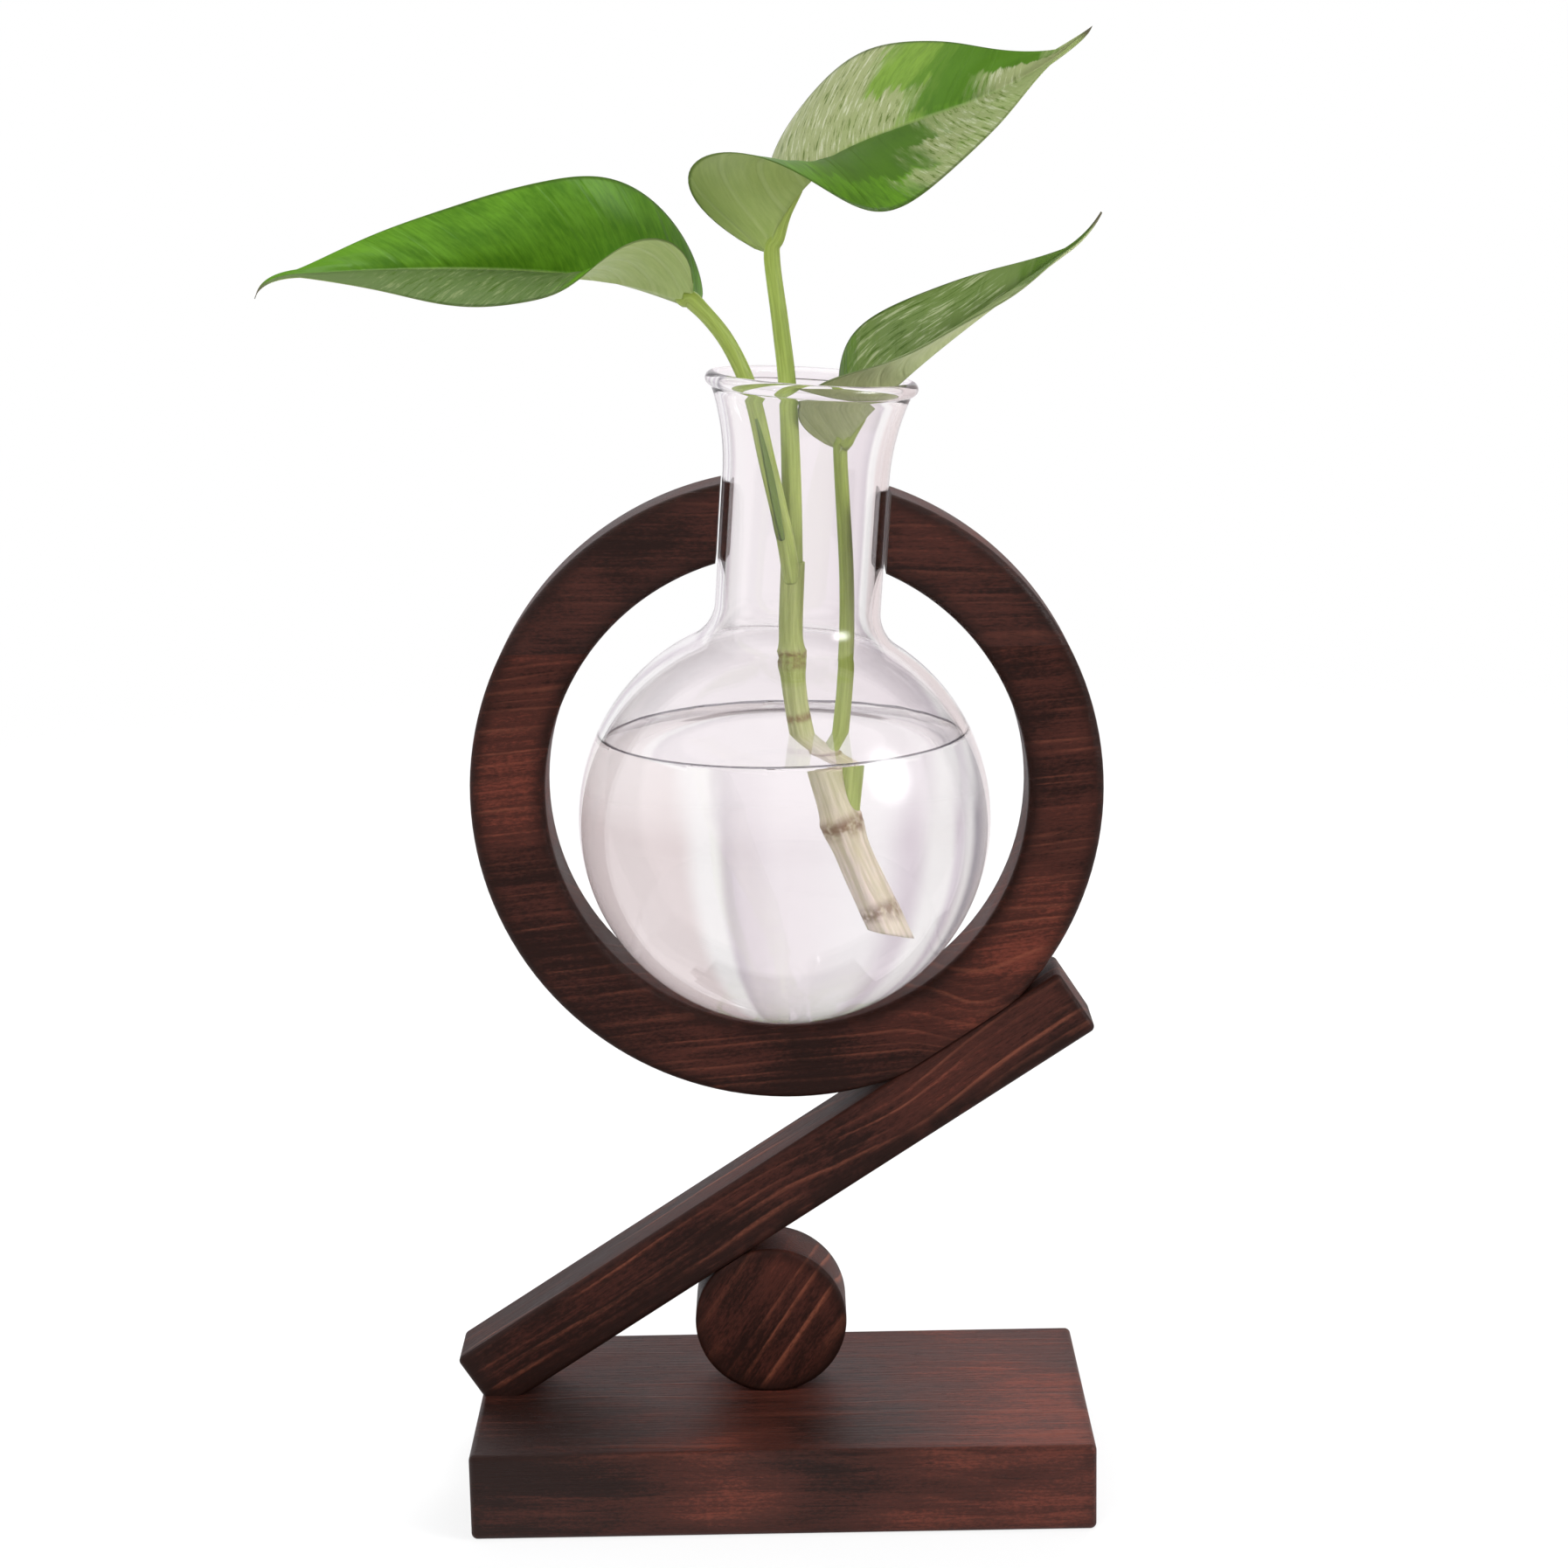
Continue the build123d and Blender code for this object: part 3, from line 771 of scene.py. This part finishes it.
def tube(points, steps, radius_at, groove, slant):
    """Shoot round a route, with a radius, a groove along it and a sloping first end."""
    places, directions = smooth_route(points, steps)
    vertices = []
    along, around = [], []
    for at, (place, run) in enumerate(zip(places, directions)):
        share = at / (steps - 1)
        side = run.cross(flask_back).normalized()
        front = side.cross(run).normalized()
        fade = max(0.0, 1 - share * steps / slant_rows)
        for turn in np.linspace(0, 2 * pi, shoot_sides, endpoint=False):
            off_groove = remainder(turn - groove_turn, 2 * pi)
            dent = 1 - groove * exp(-(off_groove**2) / groove_spread)
            reach = radius_at(share, turn) * dent
            outward = side * (reach * cos(turn))
            forward = front * (reach * sin(turn))
            push = run * (slant * cos(turn) * reach * fade)
            vertices.append(place + outward + forward + push)
            along.append(share)
            around.append(turn)
    faces = []
    for at in range(steps - 1):
        low = at * shoot_sides
        high = low + shoot_sides
        for turn in range(shoot_sides):
            after = (turn + 1) % shoot_sides
            faces.append((low + turn, low + after, high + after, high + turn))
    for end in (0, steps - 1):
        ring = list(range(end * shoot_sides, (end + 1) * shoot_sides))
        vertices.append(sum((vertices[at] for at in ring), Vector()) / shoot_sides)
        along.append(end / (steps - 1))
        around.append(0.0)
        centre = len(vertices) - 1
        for first, second in zip(ring, ring[1:] + ring[:1]):
            faces.append((first, second, centre))
    return vertices, faces, along, around


def shoot_material(name, low, high, rings=()):
    """Stalk skin: colour along its length, fine streaks and brown rings, each a place, reach and strength."""
    material, tree = new_material(name)
    along = read_attribute(tree, "along")
    skin = combine(tree, read_attribute(tree, "side"), read_attribute(tree, "front"), along)
    streak = noise(tree, skin, (3.4, 3.4, 7.0), detail=4.0, roughness=0.6)
    speck = noise(tree, skin, (2.6, 2.6, 60.0))
    shade = mix(tree, remap(tree, along, 0.1, 0.75), low, high)
    deep = mix(tree, 1.0, shade, colour("DEE0CC"), "MULTIPLY")
    shade = mix(tree, remap(tree, streak, 0.35, 0.68), deep, shade)
    for ring_place, reach, strength in rings:
        away = calc(tree, "ABSOLUTE", calc(tree, "SUBTRACT", along, ring_place))
        amount = remap(tree, speck, 0.3, 0.6, 0.15 * strength, strength)
        brown = times(tree, remap(tree, away, reach, 0.0), amount)
        shade = mix(tree, brown, shade, colour("7A5836"))
    inputs = {
        "Base Color": shade,
        "Roughness": 0.42,
        "Specular IOR Level": 0.3,
        "Subsurface Weight": 0.2,
        "Subsurface Radius": (0.7 * mm, 1.0 * mm, 0.25 * mm),
        "Subsurface Scale": 1.0,
        "Normal": bump(tree, streak, 0.15 * mm),
    }
    output(tree, shader(tree, "BsdfPrincipled", inputs))
    return material


def build_shoot(name, points, radius_at, material, replaced, steps=110, groove=0.0, slant=0.0):
    vertices, faces, along, around = tube(points, steps, radius_at, groove, slant)
    piece = mesh_piece(name, vertices, faces, "cutting", material, replaced)
    attribute(piece, "along", along)
    attribute(piece, "side", np.cos(around))
    attribute(piece, "front", np.sin(around))


# Stem: radii in millimetres, places and reaches as shares of its length
stem_foot_radius = 2.75
stem_taper = 0.4
taper_share = 0.6
node_shares = (0.245, 0.72)
node_swell = 0.5
node_reach_share = 0.035
scar_height = 0.16
scar_share = 0.012   # beyond its node
scar_reach_share = 0.006
ridge_share = 0.025   # of the radius


def stem_radius(share, turn):
    """Radius that thins from the cut end, with swollen nodes, a scar beside each and faint ridges."""
    radius = stem_foot_radius - stem_taper * min(share / taper_share, 1.0)
    for node_share in node_shares:
        away = share - node_share
        swell = node_swell * exp(-((away / node_reach_share) ** 2))
        radius += swell + scar_height * exp(-(((away - scar_share) / scar_reach_share) ** 2))
    return radius * (1 + ridge_share * sin(3 * turn + 9 * share))


# Shares of a blade where its stalk runs on below, then its depth below the blade and its last radius
long_rib_shares = (0.04, 0.10, 0.18)
short_rib_shares = (0.02, 0.05)
rib_drop = 0.5
rib_end_radius = 0.35
joint_reach_share = 0.04   # of the stalk's length, where it swells


def build_stalk(name, leaf, thick, thin, material, replaced, groove=0.1, rib=long_rib_shares, swell=0.2):
    """Stalk that thins towards its blade, swells at the joint and runs out under the midrib."""
    free = [in_flask(*share) for share in leaf["stalk_shares"]]
    carried = []
    for at in rib:
        point, _, normal = blade_axes(leaf, at)
        carried.append(point - normal * rib_drop)
    route = free + carried
    spans = [(second - first).length for first, second in zip(route, route[1:])]
    joint = sum(spans[: len(free) - 1]) / sum(spans)

    def radius_at(share, turn):
        radius = thick + (thin - thick) * min(share / joint, 1.0) ** 0.8
        radius += swell * exp(-(((share - joint) / joint_reach_share) ** 2))
        into_blade = max(share - joint, 0.0) / (1 - joint)
        return radius * (1 - into_blade) ** 0.7 + rib_end_radius * into_blade

    build_shoot(name, route, radius_at, material, replaced, groove=groove)


stem_rings = [(0.05, 0.03, 0.8), (node_shares[0], 0.035, 0.9), (0.56, 0.02, 0.8), (node_shares[1], 0.03, 0.9)]
stem_skin = shoot_material("stem_skin", colour("F0E4D8"), colour("B4C078"), stem_rings)
petiole_skin = shoot_material("petiole_skin", colour("B4C472"), colour("98A954"))
stem_route = [in_flask(*share) for share in stem_shares]
build_shoot("stem", stem_route, stem_radius, stem_skin, ["main_stem"], steps=150, slant=0.7)
build_stalk("top_stalk", top_leaf, 2.15, 1.5, petiole_skin, ["top_petiole"], swell=0.05)
build_stalk(
    "left_stalk", left_leaf, 1.75, 1.5, petiole_skin, ["left_petiole"], groove=0.12, rib=short_rib_shares,
)
build_stalk("right_stalk", right_leaf, 1.75, 1.35, petiole_skin, ["right_petiole"], swell=0.05)


# Blades: veins, a rib and a wavy margin


def build_blade(
    name, leaf, material, replaced, wave, span=(0.002, 0.998), rows=110, columns=22, seed=0.0,
):
    """Closed leaf blade with a rib under it, quilted between its veins and wavy at its margin."""
    over, under, along, across, breadth = [], [], [], [], []
    for row in range(rows + 1):
        at = span[0] + (span[1] - span[0]) * (row / rows)
        point, side, normal = blade_axes(leaf, at)
        width = leaf["half_width"] * width_share(at)
        relief = min(1, width / wavy_width)
        patterned = (width - plain_width) / (patterned_width - plain_width)
        for column in range(-columns, columns + 1):
            share = column / columns
            outward = 1 if share >= 0 else -1
            folds = leaf["right_folds"] if share >= 0 else leaf["left_folds"]
            angle = radians(three_way(folds, at))
            out = side * (outward * cos(angle)) + normal * sin(angle)
            up = side * (-outward * sin(angle)) + normal * cos(angle)
            reach = abs(share)
            arch = camber * width * 4 * reach * (1 - reach)
            from_rib = reach * width
            vein = vein_rate * (at - vein_slant * reach**vein_bend)
            quilt = quilt_height * sin(vein) * sin(pi * min(1, reach * 1.1)) * relief
            ripple = wave * reach**4 * sin(at * margin_rate + outward * 1.3 + seed) * relief
            place = point + out * from_rib + up * (arch + quilt + ripple)
            rib = rib_height * (1 - at) ** 0.8 * exp(-((from_rib / rib_reach) ** 2))
            over.append(place - up * (rib_groove * exp(-((from_rib / rib_groove_reach) ** 2))))
            under.append(place - up * (margin_thickness + rib_thickness * (1 - reach) + rib))
            along.append(at)
            across.append(share)
            breadth.append(min(1.0, max(0.0, patterned)))
    count = 2 * columns + 1
    lift = len(over)
    faces = []
    for row in range(rows):
        for column in range(count - 1):
            low = row * count + column
            faces.append((low, low + 1, low + count + 1, low + count))
            faces.append((lift + low, lift + low + count, lift + low + count + 1, lift + low + 1))
    border = [row * count for row in range(rows + 1)]
    border += [rows * count + column for column in range(1, count)]
    border += [row * count + count - 1 for row in range(rows - 1, -1, -1)]
    border += range(count - 2, 0, -1)
    for first, second in zip(border, border[1:] + border[:1]):
        faces.append((first, second, lift + second, lift + first))
    piece = mesh_piece(name, over + under, faces, "cutting", material, replaced)
    for key, values in (("along", along), ("across", across), ("breadth", breadth)):
        attribute(piece, key, values + values)
    attribute(piece, "under", [0.0] * lift + [1.0] * lift)


def blade_patch(tree, along, across, span, sides, soft):
    """1 inside a stretch of a blade, between two shares of its length and two of its width."""
    limits = [(along, span[0], 1), (along, span[1], -1), (across, sides[0], 1), (across, sides[1], -1)]
    inside = 1.0
    for value, limit, way in limits:
        inside = times(tree, remap(tree, value, limit - way * soft, limit + way * soft), inside)
    return inside


# Leaf pattern: noise has its waves along a blade, across half of it and through it
relief_depth = 0.18   # in millimetres


def leaf_material(name, deep, bright, under, streak_and_sheen_colours, zones=(), tints_and_fold_shade=(), streak_waves=(95.0, 4.0)):
    """Leaf skin: soft veins, tinted patches, zones of fine streaks, a paler underside and a dry tip; some
    patches are painted light and shade of a fold, and some streak colours are partly painted sheen.
    """
    material, tree = new_material(name)
    deep, bright, under = [colour(code) for code in (deep, bright, under)]
    dark, middle, cream = [colour(code) for code in streak_and_sheen_colours]
    along = read_attribute(tree, "along")
    across = read_attribute(tree, "across")
    below = read_attribute(tree, "under")
    breadth = read_attribute(tree, "breadth")
    reach = calc(tree, "ABSOLUTE", across)
    # The pattern draws together with the blade as it narrows to its tip
    broad = remap(tree, along, 0.96, 0.55)
    slant = times(tree, calc(tree, "POWER", reach, vein_bend), broad)
    slanted = scale_add(tree, slant, -vein_slant, along)
    flow = combine(tree, slanted, times(tree, across, broad), below)
    beat = calc(tree, "SINE", times(tree, slanted, vein_rate))
    vein = remap(tree, beat, 0.8, 1.0)
    fine = noise(tree, flow, (90.0, 5.0, 1.0), detail=4.0, roughness=0.65)
    patch = noise(tree, flow, (9.0, 2.6, 3.0))
    light = scale_add(tree, fine, 0.55, times(tree, patch, 0.45))
    light = scale_add(tree, calc(tree, "SUBTRACT", light, 0.5), breadth, 0.5)
    shade = mix(tree, remap(tree, light, 0.36, 0.64), deep, bright)
    shade = mix(tree, times(tree, vein, 0.18), shade, deep)
    ragged = noise(tree, flow, (26.0, 1.8, 1.0), (3.1, 0.4, 0.0), roughness=0.6)
    loose = scale_add(tree, ragged, 0.2, calc(tree, "SUBTRACT", slanted, 0.1))
    torn = noise(tree, flow, (44.0, 2.2, 1.0), (0.7, 2.9, 0.0), roughness=0.6)
    near_rib = calc(tree, "SMOOTH_MIN", times(tree, reach, 3.0), 1.0, 0.2)
    stray = times(tree, scale_add(tree, torn, 0.5, -0.25), near_rib)
    astray = calc(tree, "ADD", across, stray)
    # Tinted patches; some on the top leaf are painted light and shade of a fold
    for tint, strength, span, sides in tints_and_fold_shade:
        amount = remap(tree, fine, 0.35, 0.65, 0.65 * strength, strength)
        inside = times(tree, blade_patch(tree, loose, astray, span, sides, 0.02), amount)
        shade = mix(tree, inside, shade, colour(tint))
    slash = noise(tree, flow, (*streak_waves, 1.0), (1.7, 5.2, 0.0), detail=4.0, roughness=0.68)
    slash = scale_add(tree, calc(tree, "SUBTRACT", slash, 0.5), breadth, 0.5)
    lined = ramp(tree, slash, [(0.36, dark), (0.45, middle), (0.53, middle), (0.63, cream)])
    # Zones of fine streaks; on the left leaf's near half their greyish colours are partly painted sheen
    for amount, span, sides in zones:
        inside = times(tree, blade_patch(tree, loose, astray, span, sides, 0.04), amount)
        shade = mix(tree, inside, shade, lined)
    under_shade = mix(tree, remap(tree, fine, 0.3, 0.7, 0.0, 0.2), under, deep)
    under_shade = mix(tree, times(tree, vein, 0.16), under_shade, colour("C2CC98"))
    shade = mix(tree, below, shade, under_shade)
    rib = times(tree, remap(tree, reach, 0.03, 0.01), broad)
    shade = mix(tree, times(tree, rib, 0.3), shade, colour("9DAE68"))
    margin = times(tree, remap(tree, reach, 0.955, 0.99), broad)
    shade = mix(tree, times(tree, margin, 0.6), shade, colour("344A18"))
    shade = mix(tree, remap(tree, along, 0.93, 0.985), shade, colour("5F5A42"))
    relief = noise(tree, flow, (45.0, 4.0, 1.0), detail=1.0)
    height = scale_add(tree, vein, -0.5, relief)
    inputs = {
        "Base Color": shade,
        "Roughness": 0.45,
        "Specular IOR Level": 0.28,
        "Normal": bump(tree, height, relief_depth * mm, breadth),
    }
    front = shader(tree, "BsdfPrincipled", inputs)
    through = shader(tree, "BsdfTranslucent", {"Color": mix(tree, 0.4, shade, bright)})
    output(tree, shader(tree, "MixShader", {0: 0.18, 1: front, 2: through}))
    return material


# Halves of a blade, seen from its stalk
right_half = (0.0, 1.1)
left_half = (-1.1, 0.0)

# Tints are a colour and a strength, zones a strength; both then have a span along the blade and one across it
# On the near half, a zone of real cream streaks whose greyish greens are partly painted sheen
left_skin = leaf_material(
    "left_leaf_skin", "4C7C14", "689B24", "AEBD78", ("4C6426", "66794A", "8A9668"),
    zones=[(0.9, (0.2, 1.1), left_half)],
)
top_skin = leaf_material(
    "top_leaf_skin", "446A14", "5C8A1C", "A2B268", ("5E6F2C", "A3AA78", "CBCEAC"),
    tints_and_fold_shade=[
        # Painted light and shade of a fold across the far half: a lighter green patch on the stalk's side of
        # the fold, darker green patches beyond it
        ("85A640", 0.85, (0.34, 0.56), left_half),
        ("4F7A16", 0.95, (0.5, 0.68), (-1.1, -0.1)),
        ("4F7A16", 0.95, (0.64, 0.87), (-1.1, -0.45)),
        ("3E5E14", 0.7, (0.24, 0.62), (0.0, 0.7)),
    ],
    zones=[
        (0.95, (-0.2, 0.36), left_half),
        (0.9, (0.34, 0.5), (-0.4, 0.0)),
        (0.9, (0.68, 1.1), (-0.45, 0.0)),
        (0.85, (0.86, 1.1), left_half),
        (0.7, (0.56, 1.1), (0.0, 0.4)),
        (0.7, (0.47, 1.1), (0.4, 0.75)),
        (0.7, (0.4, 1.1), (0.75, 1.1)),
    ],
    streak_waves=(110.0, 4.0),
)
right_skin = leaf_material(
    "right_leaf_skin", "48681C", "64852E", "B8C08C", ("4E6628", "74894C", "B4BC92"),
    tints_and_fold_shade=[("ADB585", 0.85, (-0.2, 0.66), (0.1, 1.1))],
    zones=[(0.85, (0.16, 0.76), left_half), (0.5, (0.3, 0.76), right_half)],
    streak_waves=(8.0, 18.0),
)
build_blade("left_blade", left_leaf, left_skin, ["left_leaf"], wave=0.4)
build_blade("top_blade", top_leaf, top_skin, ["top_leaf"], wave=0.5, seed=1.0)
build_blade("right_blade", right_leaf, right_skin, ["right_leaf"], wave=0.35, seed=2.0)
sheath_skin = leaf_material("sheath_skin", "5A7430", "7F9648", "8A9C50", ("4F6A2A", "7F9648", "AAB67C"))
build_blade(
    "sheath", sheath_leaf, sheath_skin, ["petiole_sheath"], wave=0.0, span=(0.06, 0.8),
    rows=40, columns=6,
)


# Backdrop as glass and gloss show it: upright bands, by degrees to the right of straight behind
backdrop_bands = [
    (-60, "F8F4F6"), (-46, "B4B0B8"), (-40, "FFFFFF"), (-34, "DCD4DE"), (-30, "FFFFFF"), (-25, "FFFFFF"),
    (-19, "E0D7E0"), (-12, "FFFDFF"), (0, "FAF4F8"), (5, "ECE4EA"), (7.5, "DAD2DA"), (9, "FFFFFF"),
    (11, "FFFFFF"), (15, "EBE0E0"), (60, "E8DCDC"),
]
backdrop_front = colour("8E8A8C")
backdrop_glow = 0.05   # how much brighter it is behind the glass

# Floor, in metres, and the even light of the room
floor_fade = (0.25, 0.9)   # where it starts and ends to fade into the background
floor_grain = (40.0, 40.0, 40.0)
floor_white = 0.72   # share of plain white in what the camera sees of it
room_colour = (0.97, 0.98, 1.0, 1)
room_strength = 0.55


def pale_rays(tree):
    """1 for the rays that see the background: camera, glossy and transmission rays."""
    path = add_node(tree, "ShaderNodeLightPath").outputs
    seen = calc(tree, "MAXIMUM", path["Is Camera Ray"], path["Is Glossy Ray"])
    return calc(tree, "MAXIMUM", seen, path["Is Transmission Ray"])


def backdrop(tree, way):
    """White for the camera, pale bands seen through glass, and a greyer front that only gloss shows."""
    path = add_node(tree, "ShaderNodeLightPath").outputs
    unit = split_vector(tree, vector_calc(tree, "NORMALIZE", way)["Vector"])
    turn = calc(tree, "ARCTAN2", unit[0], unit[1])
    left = backdrop_bands[0][0]
    span = backdrop_bands[-1][0] - left
    share = scale_add(tree, turn, 1 / radians(span), -left / span)
    bands = ramp(tree, share, [((angle - left) / span, colour(code)) for angle, code in backdrop_bands])
    only_gloss = calc(tree, "SUBTRACT", path["Is Glossy Ray"], path["Is Transmission Ray"])
    in_front = remap(tree, unit[1], -0.05, -0.6)
    front = times(tree, in_front, calc(tree, "MAXIMUM", only_gloss, 0.0))
    around = mix(tree, front, bands, backdrop_front)
    glow = scale_add(tree, path["Is Transmission Ray"], backdrop_glow, 1.0)
    scaled = {0: around, "Scale": glow}
    around = add_node(tree, "ShaderNodeVectorMath", scaled, operation="SCALE").outputs[0]
    return mix(tree, path["Is Camera Ray"], around, (1, 1, 1, 1))


def build_floor():
    """Pale round floor that keeps the object's shadow and fades into the white background."""
    material, tree = new_material("floor_pale")
    place = add_node(tree, "ShaderNodeTexCoord").outputs["Object"]
    grain = noise(tree, place, floor_grain)
    pale = ramp(tree, grain, [(0.0, (0.90, 0.90, 0.90, 1)), (1.0, (0.94, 0.94, 0.94, 1))])
    lit = shader(tree, "BsdfDiffuse", {"Color": pale})
    from_flask = stretch(tree, place, (1, 1, 1), (0, 0, -ring_centre.z * mm))
    white = shader(tree, "Emission", {"Color": backdrop(tree, from_flask)})
    share = times(tree, pale_rays(tree), floor_white)
    surface = shader(tree, "MixShader", {0: share, 1: lit, 2: white})
    distance = vector_calc(tree, "LENGTH", place)["Value"]
    clear = shader(tree, "BsdfTransparent")
    fade = remap(tree, distance, *floor_fade)
    output(tree, shader(tree, "MixShader", {0: fade, 1: surface, 2: clear}))
    mesh = bpy.data.meshes.new("floor")
    rim = [(cos(turn), sin(turn), 0) for turn in np.linspace(0, 2 * pi, 96, endpoint=False)]
    mesh.from_pydata(rim, [], [list(range(len(rim)))])
    mesh.materials.append(material)
    floor = add_object("floor", mesh)


def build_world():
    world = bpy.data.worlds.new("studio")
    scene.world = world
    world.use_nodes = True
    tree = world.node_tree
    tree.nodes.clear()
    share = pale_rays(tree)
    way = add_node(tree, "ShaderNodeTexCoord").outputs["Generated"]
    light = shader(tree, "Background", {"Color": room_colour, "Strength": room_strength})
    seen = shader(tree, "Background", {"Color": backdrop(tree, way)})
    surface = shader(tree, "MixShader", {0: share, 1: light, 2: seen})
    add_node(tree, "ShaderNodeOutputWorld", {"Surface": surface})


def soften_lamp(lamp, core):
    """Lets a round lamp fade from its core to its rim, at the same power: its mirror image has no edge."""
    radii = np.linspace(0, 0.5, 200)
    fall = np.clip((0.5 - radii) / (0.5 - core), 0, 1)
    smooth = (fall * fall * (3 - 2 * fall)) ** 2
    mean = float((smooth * radii).sum() / radii.sum())
    lamp.use_nodes = True
    tree = lamp.node_tree
    tree.nodes.clear()
    spot = add_node(tree, "ShaderNodeNewGeometry").outputs["Parametric"]
    away = vector_calc(tree, "DISTANCE", spot, (0.5, 0.5, 0.0))["Value"]
    glow = calc(tree, "DIVIDE", calc(tree, "POWER", remap(tree, away, 0.5, core), 2.0), mean)
    add_node(tree, "ShaderNodeOutputLight", {0: shader(tree, "Emission", {"Strength": glow})})


def area_light(name, place, size, power, core, gloss=False):
    """Soft round lamp aimed at the flask, mirrored by gloss only where asked."""
    lamp = bpy.data.lights.new(name, "AREA")
    lamp.shape = "ELLIPSE"
    lamp.size, lamp.size_y = size
    lamp.energy = power
    soften_lamp(lamp, core)
    holder = add_object(name, lamp)
    holder.location = place
    holder.rotation_euler = (ring_centre * mm - Vector(place)).to_track_quat("-Z", "Y").to_euler()
    holder.visible_camera = False
    holder.visible_glossy = gloss
    return holder


def link_lamp(lamp, state):
    """Gives a lamp's light to the clear pieces alone (INCLUDE), or to all but them (EXCLUDE)."""
    group = bpy.data.collections.new(lamp.name + "_pieces")
    for piece in clear_pieces:
        group.objects.link(piece)
    for entry in group.collection_objects:
        entry.light_linking.link_state = state
    lamp.light_linking.receiver_collection = group


build_floor()
build_world()

# Lamps: place and size in metres, power in watts
fill_place = (0.87, -0.38, 0.56)
fill_size = (0.8, 0.8)
key = area_light("key", (-0.75, -0.75, 0.85), (2.2, 2.2), 14.5, core=0.15)
fill = area_light("fill", fill_place, fill_size, 6.0, core=0.02, gloss=True)
back = area_light("back", (0.2, 0.9, 0.75), (0.9, 0.6), 9.0, core=0.2)
for lamp in (key, fill, back):
    link_lamp(lamp, "EXCLUDE")
# One soft highlight on the glass, which mirrors no other lamp
glint = area_light("glint", fill_place, fill_size, 6.5, core=0.02, gloss=True)
glint.visible_transmission = False
link_lamp(glint, "INCLUDE")

# Camera at the photograph's place
picture_side = 1794
focal_pixels = 3817.3
camera_place = Vector((4.224, -626.073, 275.244)) * mm
# Turns in radians: to the right, down, and counterclockwise as the camera looks
camera_yaw = -0.0026
camera_pitch = 0.2117
camera_roll = -0.0187


def build_camera():
    data = bpy.data.cameras.new("camera")
    data.sensor_width = 36.0
    data.lens = focal_pixels / picture_side * data.sensor_width
    data.clip_start = 0.01
    turn = Matrix.Rotation(-camera_yaw, 4, "Z") @ Matrix.Rotation(pi / 2 - camera_pitch, 4, "X")
    holder = add_object("camera", data)
    holder.matrix_world = Matrix.Translation(camera_place) @ turn @ Matrix.Rotation(camera_roll, 4, "Z")
    scene.camera = holder


build_camera()
